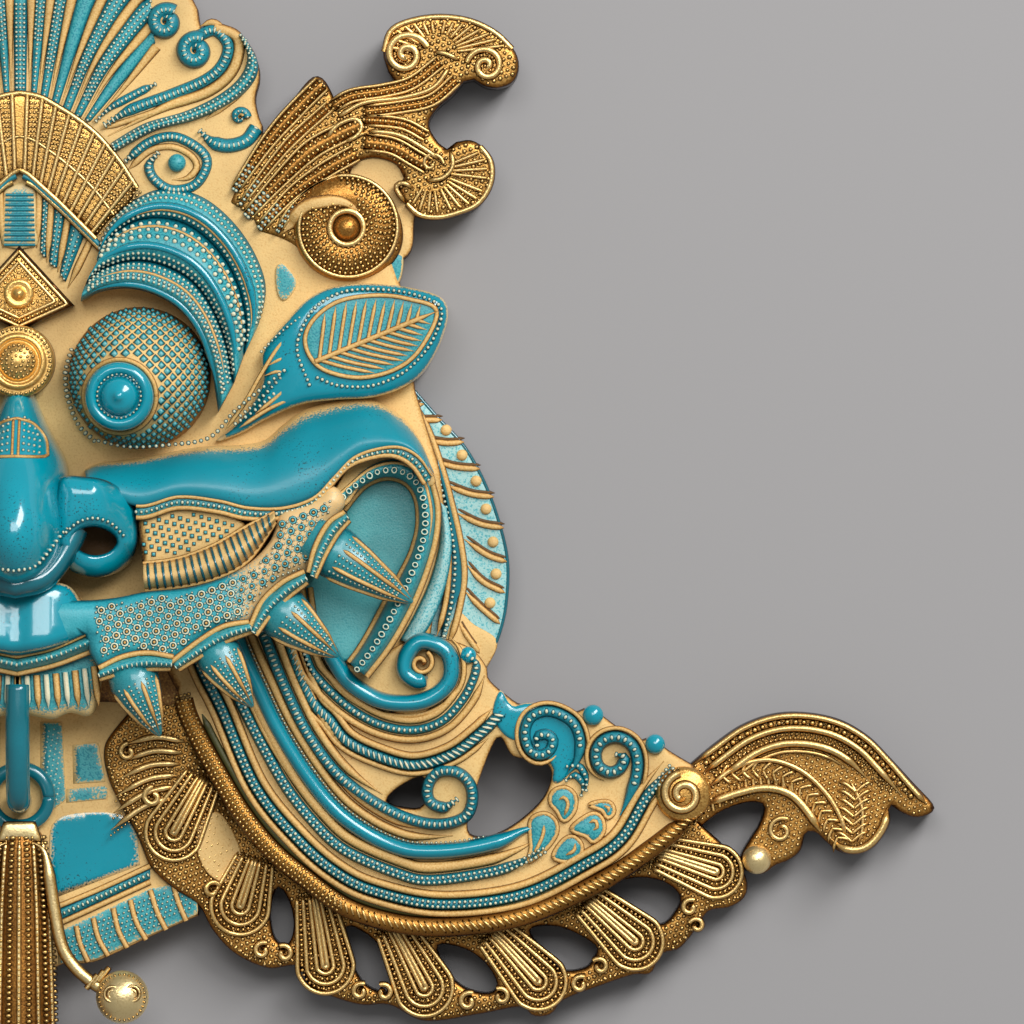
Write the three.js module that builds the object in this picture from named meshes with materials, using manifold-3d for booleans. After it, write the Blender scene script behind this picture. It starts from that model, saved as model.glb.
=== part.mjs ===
// Kirtimukha wall mask: a cast and painted guardian face, lying on its flat back, with a loose pendant.
// Millimetres. X = 0 is the axis of symmetry, +Y runs to the crown, +Z out of the wall, the back is Z = 0.
// Plan points are for the right half as seen from the front; the left half is its mirror image.

import * as THREE from 'three';
import { mergeVertices } from 'three/addons/utils/BufferGeometryUtils.js';
import Module from 'manifold-3d';

const wasm = await Module();
wasm.setup();

// Driving sizes: the levels of the casting over its back
const CROWN_TOP = 10;       // crown fan
const ARCH_TOP = 13.4;      // gold arch over the brow
const FACE_TOP = 12.6;      // ground that carries the features
const DISC_TOP = 9.4;       // feather discs behind the cheeks
const HORN_TOP = 13;        // horns
const EAR_TOP = 19;         // ear leaves
const CHEEK_LEAF_TOP = 23;  // leaf patch beside the nostril
const MUZZLE_TOP = 30;      // snout
const PHILTRUM_TOP = 33;    // glossy strip under the nose
const TEETH_TOP = 24;       // front teeth
const WHISKER_TOP = 14;     // whiskers
const FRILL_TOP = 8.6;      // gold frill
const TAIL_TOP = 9;         // tail leaves
const CHIN_TOP = 10.6;      // flat chin panel that the pendant lies on

// Driving sizes: edges, roots and the hook with its pendant
const ROOT = 1.6;           // how far a raised form runs into what carries it
const DEEP = 5;             // how far the plates run below the back before it is cut flat
const CHAMFER = 1.2;        // worked-off edge of the plates
const PENDANT_GAP = 0.4;    // air between the chin panel and the pendant
const HOOK_R = 2.4;         // rod that carries the pendant
const HOOK_HIGH = 23;       // height of the rod's axis where it comes out of the lip
const RING_R = 5.8;         // pendant ring, at the middle of its wire
const RING_WIRE = 1.4;      // radius of the ring's wire
const RING_Y = -54.6;       // the ring's centre on the axis

// Plan curves

const line = (points) => points.map(([x, y]) => new THREE.Vector2(x, y));
const spline = (points, steps) => new THREE.SplineCurve(line(points)).getSpacedPoints(steps);
const mirrored = (half) => [...half, ...half.map((p) => new THREE.Vector2(-p.x, p.y)).reverse()];
const rad = THREE.MathUtils.degToRad;
const polar = ([x, y], r, deg) => new THREE.Vector2(x + r * Math.cos(rad(deg)), y + r * Math.sin(rad(deg)));

// Curl that starts on a circle and winds inwards.
function curl(centre, radius, startDeg, turns, steps) {
  const shrink = 0.72;
  return Array.from({ length: steps + 1 }, (_, i) => {
    const t = i / steps;
    return polar(centre, radius * (1 - shrink * t), startDeg + 360 * turns * t);
  });
}

// Closed solids

function solid(geometry) {
  geometry.deleteAttribute('normal');
  geometry.deleteAttribute('uv');
  const merged = mergeVertices(geometry, 1e-4);
  const triVerts = new Uint32Array(merged.index.array);
  const vertProperties = new Float32Array(merged.attributes.position.array);
  return new wasm.Manifold(new wasm.Mesh({ numProp: 3, vertProperties, triVerts }));
}

function signedVolume(points, faces) {
  const cross = new THREE.Vector3();
  return faces.reduce((sum, [a, b, c]) => sum + points[a].dot(cross.crossVectors(points[b], points[c])), 0);
}

// Skin over a row of rings that all have the same number of points, closed by a fan at each end.
function skin(rings) {
  const sides = rings[0].length;
  const points = rings.flat();
  const faces = [];
  for (let r = 0; r + 1 < rings.length; r += 1) {
    for (let k = 0; k < sides; k += 1) {
      const a = r * sides + k;
      const b = r * sides + ((k + 1) % sides);
      faces.push([a, b, b + sides], [a, b + sides, a + sides]);
    }
  }
  const last = points.length - sides;
  for (let k = 1; k + 1 < sides; k += 1) {
    faces.push([0, k + 1, k], [last, last + k, last + k + 1]);
  }
  if (signedVolume(points, faces) < 0) faces.forEach((face) => face.reverse());
  const geometry = new THREE.BufferGeometry().setFromPoints(points);
  geometry.setIndex(faces.flat());
  return solid(geometry);
}

// Plate with a worked-off upper edge and a flat top at the level given.
function plate(outline, top, { holes = [], chamfer = CHAMFER } = {}) {
  const shape = new THREE.Shape(outline);
  shape.holes = holes.map((hole) => new THREE.Path(hole));
  const geometry = new THREE.ExtrudeGeometry(shape, {
    depth: top - 2 * chamfer + DEEP,
    bevelEnabled: chamfer > 0,
    bevelThickness: chamfer,
    bevelSize: chamfer,
    bevelOffset: -chamfer,
    bevelSegments: 1,
  });
  geometry.translate(0, 0, chamfer - DEEP);
  return solid(geometry);
}

// Carved ridge along a plan path: a roof-shaped or flat-topped bar rooted in what carries it.
// Its width and lift run from 1 to `end` times their size along the path.
function ridge(path, on, width, lift, { flat = 0, end = 1 } = {}) {
  const rings = path.map((p, i) => {
    const scale = 1 + ((end - 1) * i) / (path.length - 1);
    const along = path[Math.min(i + 1, path.length - 1)].clone().sub(path[Math.max(i - 1, 0)]).normalize();
    const up = lift * scale;
    const half = (width * scale) / 2;
    const top = half * flat;
    const foot = half + ((half - top) * ROOT) / up;
    const at = (a, h) => new THREE.Vector3(p.x - along.y * a, p.y + along.x * a, on + h);
    const crest = flat > 0 ? [at(top, up), at(-top, up)] : [at(0, up)];
    return [at(foot, -ROOT), ...crest, at(-foot, -ROOT)];
  });
  return skin(rings);
}

// Swelling band over several plan curves, each with its own height, from the first edge to the last.
function band(on, curves) {
  const [first] = curves;
  const last = curves[curves.length - 1];
  const at = (p, z) => new THREE.Vector3(p.x, p.y, on + z);
  const rings = first.path.map((foot, i) =>
    [at(foot, -ROOT), ...curves.map(({ path, high }) => at(path[i], high)), at(last.path[i], -ROOT)]);
  return skin(rings);
}

const between = (pathA, pathB, s) => pathA.map((p, i) => p.clone().lerp(pathB[i], s));

// Band with even steps across from one plan edge to the other; `profile` gives its heights.
const arched = (on, edgeA, edgeB, profile) =>
  band(on, profile.map((high, k) => ({ path: between(edgeA, edgeB, k / (profile.length - 1)), high })));

// Turned boss: its foot's radius, then rings of (radius, height over its base).
function boss([x, y], on, profile, sides) {
  const half = line([[0, -ROOT], [profile[0][0], -ROOT], ...profile.slice(1)]);
  const geometry = new THREE.LatheGeometry(half, sides);
  geometry.rotateX(Math.PI / 2);
  geometry.translate(x, y, on);
  return solid(geometry);
}

const knob = (centre, on, r, high) => boss(centre, on, [[r * 1.1], [r * 0.5, high], [0, high]], 5);
const volute = (centre, on, r, high) =>
  boss(centre, on, [[r * 1.1], [r * 0.7, high], [0, high * 0.3]], 6);

// Round bar along a path in space, with a radius at each point.
function bar(path, radii, sides) {
  const rings = path.map((p, i) => {
    const along = path[Math.min(i + 1, path.length - 1)].clone().sub(path[Math.max(i - 1, 0)]).normalize();
    const upright = Math.abs(along.z) > 0.9;
    const side = new THREE.Vector3(upright ? 1 : along.y, upright ? 0 : -along.x, 0).normalize();
    const up = new THREE.Vector3().crossVectors(side, along);
    return Array.from({ length: sides }, (_, k) => {
      const angle = (k / sides) * 2 * Math.PI;
      const spot = p.clone().addScaledVector(side, Math.cos(angle) * radii[i]);
      return spot.addScaledVector(up, Math.sin(angle) * radii[i]);
    });
  });
  return skin(rings);
}

const join = (pieces) => pieces.reduce((whole, piece) => whole.add(piece));

// Crown: a scalloped fan of flutes over a gold arch, with scrolls at its sides
const FAN_MID = [0, 64.8];
const FAN_R = 54;
const FAN_SCALLOP = 1.2;
const FAN_END = 52;
const FAN_CELLS = 5;
const ARCH_R = 20;

function crown() {
  const half = (90 - FAN_END) / FAN_CELLS / 2;
  const edge = Array.from({ length: 2 * FAN_CELLS }, (_, i) =>
    polar(FAN_MID, FAN_R + (i % 2 ? -FAN_SCALLOP : FAN_SCALLOP), 90 - (i + 1) * half));
  const side = line([
    [36.2, 99.2], [42.4, 98.8], [46.4, 95.6], [47.8, 89.8], [47, 85.2], [48.4, 79.8], [46, 61.8],
    [26, 56.8],
  ]);
  return plate(mirrored([...edge, ...side]), CROWN_TOP);
}

function crownCarving() {
  const pitch = (90 - FAN_END) / FAN_CELLS;
  const spokes = Array.from({ length: FAN_CELLS }, (_, i) => {
    const deg = 90 - (i + 1) * pitch;
    const path = [polar(FAN_MID, ARCH_R, deg), polar(FAN_MID, FAN_R - 4, deg)];
    return ridge(path, CROWN_TOP, 2, 1.6, { end: 1.5 });
  });
  const outerBand = spline([
    [43.6, 97.6], [46.6, 94.4], [46.4, 90.4], [40.4, 85.2], [31, 81.2], [19, 75.8],
  ], 5);
  const rope = spline([[36.6, 98.2], [40.8, 96.8], [40.4, 91.8], [30.4, 86.2], [17, 79.6]], 5);
  const swirl = spline([
    [21.6, 72.8], [26.4, 76.6], [32, 77.4], [37.2, 72.4], [34, 67.2], [27.6, 68], [26, 72.2],
  ], 5);
  return [
    ...spokes,
    ridge(outerBand, CROWN_TOP, 4, 2.4),
    ridge(rope, CROWN_TOP, 2.2, 1.8),
    ridge(swirl, FACE_TOP, 2, 1.6),
    volute([29, 100.4], CROWN_TOP, 4, 2.4),
    volute([35, 94.8], CROWN_TOP, 4.2, 2.6),
  ];
}

function arch() {
  const outer = spline([[0, 86.2], [8, 83.6], [16, 77.2], [23.4, 66.8]], 5).slice(1);
  return plate(mirrored([...outer, ...line([[15.4, 56.8]])]), ARCH_TOP, { chamfer: 0 });
}

const gable = () => ridge(line([[-15.4, 57.2], [0, 71.2], [15.4, 57.2]]), ARCH_TOP, 3.2, 1.6);

function diamond() {
  const outline = line([[0, 55.6], [-11, 43.6], [0, 38.4], [11, 43.6]]);
  const top = 17.4;
  return [plate(outline, top, { chamfer: 2 }), knob([0, 46.4], top, 3, 2.4)];
}

const browBoss = () => boss([0, 32.4], FACE_TOP, [[7.4], [6.8, 9.4], [5, 9], [2.4, 11.4], [0, 11.4]], 8);

// Horn: gold plume with blades, two shell heads and a big volute
const HORN_BLADES = [
  [[42, 64], [48.4, 76.8], [59.2, 89]],
  [[43.8, 63.2], [54, 76.8], [62.8, 84]],
  [[45.6, 61.4], [56, 72.8], [67.6, 79.2]],
  [[48.4, 59.6], [56.4, 67.6], [68, 74.4]],
];
const SHELLS = [
  { centre: [83.4, 93.2], r: 7.4, from: 15, to: 155, flutes: 4 },
  { centre: [83.2, 69.6], r: 9, from: -80, to: 25, flutes: 4 },
];

function horn() {
  const top = spline([[41.6, 63.4], [48.4, 77.2], [59.4, 89.4], [65, 85.2], [73.6, 87.2]], 6);
  const head = spline([
    [72.8, 93.8], [74.8, 99.6], [84, 101.6], [95.6, 98.2], [99.8, 91.8], [96, 87.2], [90, 87.8],
  ], 8);
  const lobe = spline([[89.2, 76.8], [94.4, 72.4], [92.8, 64.2], [84, 61], [77.6, 62]], 5);
  const neck = line([[84, 83.2], [82, 79.8], [85.4, 75]]);
  const root = line([[76, 53.8], [72, 50.4], [64.6, 49], [57.2, 52.4], [48.4, 59.2]]);
  return plate([...top, ...head, ...neck, ...lobe, ...root], HORN_TOP);
}

function hornCarving() {
  const blades = HORN_BLADES.map((points) => ridge(spline(points, 2), HORN_TOP, 3, 1.8));
  const stem = ridge(spline([[64, 84.8], [76, 85.4], [86.4, 90.8]], 2), HORN_TOP, 4, 1.6, { end: 0.6 });
  const lower = ridge(spline([[68.4, 76.8], [77, 74.8], [83.2, 70.8]], 2), HORN_TOP, 4, 1.6, { end: 0.6 });
  const flutes = SHELLS.flatMap(({ centre, r, from, to, flutes: count }) =>
    Array.from({ length: count }, (_, i) => {
      const deg = from + ((to - from) * i) / (count - 1);
      const path = [polar(centre, r * 0.35, deg), polar(centre, r, deg)];
      return ridge(path, HORN_TOP, 1.4, 1, { end: 1.6 });
    }));
  const heart = [64.6, 59.8];
  return [
    ...blades, stem, lower, ...flutes,
    volute([77.4, 93.8], HORN_TOP, 4.6, 1.8), volute([93.4, 91.2], HORN_TOP, 3.6, 1.8),
    ridge(curl(heart, 8.8, 60, 1.3, 8), HORN_TOP, 3.4, 3.6, { end: 0.6 }), knob(heart, HORN_TOP, 3.2, 4.4),
  ];
}

// Face: a flat ground that carries the features, with the feather discs at its sides
function face() {
  const right = line([
    [20, 84.8], [48.4, 79.8], [56, 64.8], [74, 53.8], [76.4, 46.8], [80, 24.8],
    [85.2, 0.8], [82, -23.2], [76, -43.2], [46, -47.2], [20, -42.2],
  ]);
  return plate(mirrored(right), FACE_TOP, { chamfer: 0 });
}

function disc() {
  const edge = spline([[76, 28.8], [89, 15.8], [96.6, -0.2], [97.6, -15.2], [93, -29.6]], 6);
  return plate([...edge, ...line([[72, -33.2], [72, 24.8]])], DISC_TOP, { chamfer: 0.8 });
}

function feathers() {
  const count = 5;
  const inner = spline([[83.6, 18.4], [88.4, 4.8], [89.6, -7.2], [86.8, -23.2]], count);
  const outer = spline([[85.2, 20], [94, 6.8], [97.4, -10.2], [94.8, -24.4]], count);
  const starts = between(inner, outer, 0.3);
  const ends = between(inner, outer, 0.92);
  const quills = starts.slice(1).map((start, i) => ridge([start, ends[i + 1]], DISC_TOP, 1.6, 1.2));
  return [ridge(inner, DISC_TOP, 2.6, 2), ...quills];
}

function brows() {
  const steps = 6;
  const outer = spline([[15.6, 53.8], [20, 63.2], [29, 67], [39, 63.8], [47, 53.8], [48, 41.2]], steps);
  const middle = spline([
    [14.4, 51.2], [20.4, 60.4], [29.6, 61.4], [39, 56.2], [44.8, 45.8], [45.2, 35.8],
  ], steps);
  const inner = spline([[13.2, 47.6], [19, 52.4], [28, 52], [36.4, 46], [41.2, 35.8], [42.6, 27.8]], steps);
  const lid = spline([[12, 44.4], [19.6, 46.8], [27.4, 45.2], [34, 39.8], [38, 31.8], [39.8, 23.2]], steps);
  return band(FACE_TOP, [
    { path: outer, high: 1 },
    { path: between(outer, middle, 0.5), high: 4 },
    { path: middle, high: 3.6 },
    { path: between(middle, inner, 0.4), high: 8 },
    { path: inner, high: 6.6 },
    { path: between(inner, lid, 0.4), high: 10.5 },
    { path: lid, high: 8 },
  ]);
}

const EYE_R = 14.2;
const EYE_HIGH = 16.5;

function eye() {
  const arc = [0, 25, 50, 72].map((deg) => [EYE_R * Math.cos(rad(deg)), EYE_HIGH * Math.sin(rad(deg))]);
  const iris = [[6.8], [6.6, 18.4], [4.6, 17.4], [3.4, 20.6], [0, 20.6]];
  return [boss([24, 29.2], FACE_TOP, [...arc, [0, EYE_HIGH]], 10), boss([20.4, 25.4], FACE_TOP, iris, 7)];
}

// Nose: rings across the bridge and the bulb, from the brow down
const NOSE = [
  { at: [0, 26.2], half: 3, top: 24 },
  { at: [0, 19.8], half: 6, top: 31 },
  { at: [0, 11.8], half: 10.4, top: 39 },
  { at: [0, 4.8], half: 10, top: 45 },
  { at: [0, -4.2], half: 10.6, top: 48 },
  { at: [0, -10], half: 7.4, top: 45 },
  { at: [0, -13.2], half: 3.4, top: 39 },
];

function nose() {
  const sides = 6;
  const base = FACE_TOP - ROOT;
  const rings = NOSE.map(({ at: [, y], half, top }) =>
    Array.from({ length: sides + 1 }, (_, k) => {
      const angle = (k / sides) * Math.PI;
      return new THREE.Vector3(half * Math.cos(angle), y, base + (top - base) * Math.sin(angle) ** 0.7);
    }));
  return skin(rings);
}

function nostril() {
  const outer = spline([[9.2, 9.2], [17, 8.6], [22.6, 4.2], [23.8, -2.2], [21.6, -8.4], [13.6, -10.6]], 6);
  const inner = spline([[8.4, 4.8], [14.4, 3.2], [17.6, 0.4], [18, -3.2], [16, -5.6], [12, -6.2]], 6);
  return arched(FACE_TOP, outer, inner, [12, 19, 20, 15]);
}

// Cheek, snout and mouth
const CHEEK_TOP = [
  [13, 10.8], [24, 13.2], [36, 15.2], [48.4, 17.2], [56, 22], [65, 24.6], [73, 23.8], [82.6, 11.2],
];
const CHEEK_LOW = [
  [20, 3.2], [29, 5.4], [39, 5], [50, 2.8], [59.6, 5.4], [66, 12.8], [73, 15.4], [80.4, 12.4],
];
const MUZZLE = [
  [8, -14.8], [14.4, -15.6], [26, -13.6], [40.4, -10.8], [49.6, -4.2], [56, 2.4], [64, 2.4], [59.6, -4.8],
  [57.2, -10], [48.4, -16.4], [45.6, -20.6], [36, -24.2],
  [31.2, -27.6], [16.8, -28.8], [13.6, -23.6], [7, -25.6],
];

function cheek() {
  const steps = 8;
  const swell = arched(FACE_TOP, spline(CHEEK_TOP, steps), spline(CHEEK_LOW, steps), [9, 14, 15.5, 12]);
  const comb = arched(
    FACE_TOP,
    spline([[25, -7.8], [33, -6.6], [42.4, -2.2], [51, 2.4]], 4),
    spline([[25.4, -13.4], [34.4, -12.6], [45.2, -8.2], [51.6, 0]], 4),
    [13, 17, 17],
  );
  const leaf = line([[24, 2.8], [29, 5.2], [38.4, 4.8], [45.6, 0.6], [39, -4.2], [32, -6.8], [25, -7.6]]);
  return [swell, comb, plate(leaf, CHEEK_LEAF_TOP, { chamfer: 0 })];
}

const muzzle = () => plate(mirrored(line(MUZZLE)), MUZZLE_TOP, { chamfer: 2.4 });
const philtrum = () => plate(mirrored(line([
  [10.8, -12.2], [15.2, -16.2], [13.6, -23.2], [7, -25.2],
])), PHILTRUM_TOP, { chamfer: 1.2 });

function lip() {
  const roll = spline([
    [59.6, 2.8], [65, 7.2], [72.4, 12.4], [79.2, 11.2], [82.2, 3.8], [80.8, -7.2], [75, -18.2],
    [69.2, -28.8],
  ], 9);
  return ridge(roll, FACE_TOP, 6.4, 9, { flat: 0.5 });
}

const FANGS = [
  { base: [63.4, -6.4], tip: [78.6, -15.8], r: 5.4, root: 22 },
  { base: [53.2, -18], tip: [63.8, -26.6], r: 5.4, root: 24 },
  { base: [40.4, -26], tip: [47, -36.6], r: 4.8, root: 26 },
  { base: [23.4, -31.2], tip: [28.4, -42.4], r: 5.2, root: 27 },
];
const FANG_PROFILE = [1.1, 1.3, 0.98, 0.66, 0.06];
const FANG_STATIONS = [-0.4, 0.02, 0.1, 0.55, 1];
const FANG_BELLY = 3;

function fangs() {
  return FANGS.map(({ base, tip, r, root }) => {
    const start = new THREE.Vector3(...base, root);
    const point = new THREE.Vector3(...tip, root);
    const path = FANG_STATIONS.map((t) => {
      const high = root + FANG_BELLY * Math.sin(Math.PI * t);
      return start.clone().lerp(point, t).setZ(high);
    });
    return bar(path, FANG_PROFILE.map((k) => k * r), 5);
  });
}

function frontTeeth() {
  const comb = plate(mirrored(line([
    [16, -20.2], [16, -33.6], [14, -38], [4, -38.6],
  ])), TEETH_TOP, { chamfer: 0 });
  const gum = ridge(line([[-18, -25.2], [0, -28.8], [18, -25.2]]), TEETH_TOP, 4, 4, { flat: 0.4 });
  const teeth = [-2, -1, 0, 1, 2].map((i) =>
    ridge(line([[6.4 * i, -28 + Math.abs(i)], [6.6 * i, -38]]), TEETH_TOP, 3.2, 1.8));
  return [comb, gum, ...teeth];
}

function hook() {
  const bend = RING_Y - 0.6;
  const path = [
    new THREE.Vector3(0, -34, HOOK_HIGH + 2),
    new THREE.Vector3(0, -50, HOOK_HIGH),
    new THREE.Vector3(0, bend + 1, HOOK_HIGH - 1.4),
    new THREE.Vector3(0, bend, HOOK_HIGH - 4),
    new THREE.Vector3(0, bend, CHIN_TOP - ROOT),
  ];
  return bar(path, path.map(() => HOOK_R), 6);
}

// Ear leaf with its stem
const LEAF_ROOT = new THREE.Vector2(...[60.4, 32.8]);
const LEAF_TIP = new THREE.Vector2(...[82.8, 42]);
const LEAF_VEINS = 3;

function ear() {
  const outline = [
    ...spline([[43.2, 18.8], [49.6, 29.8], [55, 41.8], [64, 47.4], [77, 47.2], [85.6, 42.8]], 6),
    ...spline([[84, 35.8], [77.6, 28], [66, 25.2], [54, 25.2], [47.6, 21.2]], 4),
  ];
  const rim = spline([
    [83.4, 42.4], [71, 45.4], [61, 43.8], [57, 37.8], [61, 31], [71, 29.4], [79, 33.2], [83.4, 42],
  ], 6);
  const veins = Array.from({ length: LEAF_VEINS }, (_, i) => {
    const t = (i + 0.6) / (LEAF_VEINS + 0.6);
    const root = LEAF_ROOT.clone().lerp(LEAF_TIP, t);
    const up = root.clone().add(new THREE.Vector2(1.5 + 2 * t, 8.6 - 5.5 * t));
    const down = root.clone().add(new THREE.Vector2(6 - 2 * t, -2.4 - 3 * t * (1 - t)));
    return [up, down].map((end) => ridge([root.clone().lerp(end, 0.25), end], EAR_TOP, 1.2, 0.9));
  }).flat();
  const midrib = ridge([LEAF_ROOT, LEAF_TIP], EAR_TOP, 1.6, 1.4);
  return [plate(outline, EAR_TOP), ridge(rim, EAR_TOP, 1.8, 1.4), midrib, ...veins];
}

// Whiskers: a broad plume of ribs that ends in scrolls
const ROPE = [
  [31.6, -33.6], [35.6, -44.2], [44, -58.4], [56.4, -71.2], [68, -78.2], [82.4, -81.2],
  [100, -79.2], [116.6, -72], [127.2, -65.2], [136, -57.6],
];
const HEART = [
  [95.4, -42.8], [98.8, -46.8], [105, -48], [106.2, -51.2], [102, -57.6], [94, -62.4],
  [89.6, -60.8], [91.2, -53.2],
];
const SLIT = [[73.4, -55.4], [76.4, -52.2], [80.8, -50.6], [80.8, -56.8]];
const WHISKER_RIBS = [
  { path: ROPE, steps: 8, width: 3.4, lift: 1.6 },
  { path: [
    [40.4, -37.4], [47.6, -53.2], [63.2, -69.6], [84, -75.8], [102, -73.2], [119.6, -63.4],
    [130.2, -48.6],
  ], steps: 6, width: 3, lift: 2 },
  { path: [
    [44.8, -37.4], [52.8, -51.6], [66, -65.6], [82.2, -71.2], [101.6, -67.2],
  ], steps: 4, width: 3, lift: 2.2 },
  { path: [
    [47.6, -33.2], [57.6, -50.4], [69.4, -61.8], [82, -65.6], [96, -63.6], [107.2, -60],
  ], steps: 5, width: 4.4, lift: 3.4 },
  { path: [
    [53.6, -34.4], [63.2, -49.6], [76.4, -58.4], [85.2, -60], [90.2, -55.8], [87.6, -50.2],
    [82, -52],
  ], steps: 6, width: 2.8, lift: 2.6 },
  { path: [
    [56, -33.2], [65.2, -43.6], [78.6, -48], [91.6, -42.4], [96.4, -37.6],
  ], steps: 4, width: 3, lift: 2 },
  { path: [
    [59.6, -30.8], [66, -36.8], [78, -41.2], [87.6, -36.4], [91.2, -27.8],
  ], steps: 4, width: 2.6, lift: 2.2 },
  { path: [
    [63.2, -27.2], [70.4, -34.8], [81, -35.4], [86.2, -29.8], [82.8, -24], [77.4, -26.4],
    [78, -30.4],
  ], steps: 7, width: 3.6, lift: 4 },
];

function whiskers() {
  const high = line([
    [134, -48], [127.6, -42.4], [123.4, -43.4], [117, -38.4], [110.4, -37.6], [100.4, -36.2],
    [93.6, -28.8], [90, -25.2], [76, -23.2], [56, -23.2], [36, -27.2],
  ]);
  return plate([...spline(ROPE, 10), ...high], WHISKER_TOP, { holes: [line(HEART), line(SLIT)], chamfer: 0 });
}

function whiskerCarving() {
  const on = WHISKER_TOP;
  const ribs = WHISKER_RIBS.map(({ path, steps, width, lift }) =>
    ridge(spline(path, steps), on, width, lift));
  const scrolls = [
    [[104.4, -43.6], 4.2], [[119.4, -47], 4.4], [[132.6, -54], 5.4],
  ].map(([spot, r]) => volute(spot, on, r, 2));
  return [...ribs, ...scrolls];
}

// Frill: a pierced band of hanging lobes under the whiskers, tied together at their tips
const LOBES = [
  { root: [37, -50.2], end: [30.4, -61.6] },
  { root: [47.6, -65.6], end: [44, -76.8] },
  { root: [59.2, -74.2], end: [61.2, -88.8] },
  { root: [74.4, -80.2], end: [81, -93.2] },
  { root: [94, -81.2], end: [104, -92.2] },
  { root: [114, -74.8], end: [123.4, -84] },
  { root: [128.4, -65.2], end: [140.4, -69.6] },
];
const LOBE_R = 5.6;
const LOBE_CORE = 2.2;
const TIE_R = 3;
const PIERCED_FROM = 1;

// Half round about a lobe's end, from its right flank to its left as seen along the lobe.
function lobeTip({ root, end }, r, sides) {
  const facing = THREE.MathUtils.radToDeg(Math.atan2(end[1] - root[1], end[0] - root[0]));
  return Array.from({ length: sides + 1 }, (_, i) => polar(end, r, facing - 90 + (180 * i) / sides));
}

function frill() {
  const ends = LOBES.map(({ end }) => new THREE.Vector2(...end));
  const tips = LOBES.map((lobe) => lobeTip(lobe, LOBE_R, 4).slice(1, -1));
  const ties = ends.slice(1).map((end, i) => {
    const across = end.clone().sub(ends[i]).normalize();
    const out = new THREE.Vector2(across.y, -across.x);
    return { across, out, middle: end.clone().lerp(ends[i], 0.5) };
  });
  const edge = tips.flatMap((tip, i) => {
    const valley = ties[i];
    return valley ? [...tip, valley.middle.clone().addScaledVector(valley.out, TIE_R)] : tip;
  });
  const holes = ties.slice(PIERCED_FROM).map(({ across, out, middle }, i) => {
    const root = new THREE.Vector2(...LOBES[i + PIERCED_FROM].root);
    const next = new THREE.Vector2(...LOBES[i + PIERCED_FROM + 1].root);
    const head = root.lerp(next, 0.5).lerp(middle, 0.25);
    const foot = middle.clone().addScaledVector(out, -TIE_R * 0.7);
    return [head, foot.clone().addScaledVector(across, -3), foot.clone().addScaledVector(across, 3)];
  });
  const inner = line([
    [134, -58.2], [124, -65.2], [100, -75.2], [80, -77.2], [62, -71.2], [48, -58.2], [36, -41.2],
    [22, -41.2],
  ]);
  const cores = LOBES.map((lobe) => {
    const start = new THREE.Vector2(...lobe.root);
    const tip = lobeTip(lobe, LOBE_CORE, 2);
    const shift = start.clone().sub(new THREE.Vector2(...lobe.end)).multiplyScalar(0.8);
    return ridge([tip[0].clone().add(shift), ...tip, tip[2].clone().add(shift)], FRILL_TOP, 2.2, 1.6);
  });
  return [plate([...edge, ...inner], FRILL_TOP, { holes, chamfer: 0 }), ...cores];
}

// Tail leaf: gold plume at the end of the whiskers
function tail() {
  const outline = [
    ...spline([[132, -50.2], [139, -44], [151, -38], [164.2, -39.2], [174.2, -46.8], [182.8, -56.4]], 7),
    ...line([[179.4, -58.8], [173, -55.2]]),
    ...spline([[173.8, -58.2], [171.6, -63.8], [166, -66.2], [160.4, -62.8]], 3),
    ...line([
      [156.8, -63.6], [153.2, -67.6], [149, -70.4], [145.2, -68.8], [145.6, -64.4], [148.4, -60.4],
      [148, -56.4], [143, -56.4], [136, -60],
    ]),
  ];
  const on = TAIL_TOP;
  return [
    plate(outline, on),
    ridge(spline([[136, -48.8], [145, -42.4], [157, -40], [168.4, -44], [180.4, -56]], 4), on, 4, 1.8),
    ridge(spline([
      [137.6, -51.2], [148, -46.2], [160, -45.2], [170.4, -53.2], [171.6, -59.2],
    ], 5), on, 2, 1.4),
    ridge(spline([[138.4, -53.6], [148, -50.2], [156, -53.2], [159, -60.8]], 4), on, 3.4, 1.8),
    ridge(spline([[150, -47.6], [161, -51.2], [166.4, -62.4]], 2), on, 2, 1.4),
    volute([152.2, -61.4], on, 3.6, 2),
    knob([147.4, -67.2], on, 3, 2),
  ];
}

// Chin panel behind the pendant, a flat tongue with a hem
function chin() {
  const body = plate(mirrored(line([
    [34, -39.2], [39, -67.2], [35.6, -78.4], [15, -87.6], [0.8, -94.4],
  ])), CHIN_TOP, { chamfer: 0 });
  const hems = [-1, 1].map((s) => ridge(line([[s * 10, -76], [s * 25, -69.4]]), CHIN_TOP, 2.2, 1));
  return [body, ...hems];
}

function mask() {
  const right = join([
    ...crownCarving(), horn(), ...hornCarving(), disc(), ...feathers(), brows(), ...eye(), nostril(),
    ...cheek(), lip(), ...fangs(), ...ear(), whiskers(), ...whiskerCarving(), ...frill(), ...tail(),
  ]);
  const { vertProperties, triVerts } = right.getMesh();
  const flipped = vertProperties.map((value, i) => (i % 3 === 0 ? -value : value));
  const turned = triVerts.map((_, i) => triVerts[i - (i % 3) + (2 - (i % 3))]);
  const left = new wasm.Manifold(new wasm.Mesh({ numProp: 3, vertProperties: flipped, triVerts: turned }));
  const middle = [
    crown(), arch(), gable(), ...diamond(), browBoss(), face(), nose(), muzzle(), philtrum(),
    ...frontTeeth(), hook(), ...chin(),
  ];
  const below = new THREE.BoxGeometry(500, 400, 4 * DEEP).translate(0, 0, -2 * DEEP);
  return join([right, left, ...middle]).subtract(solid(below));
}

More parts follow.
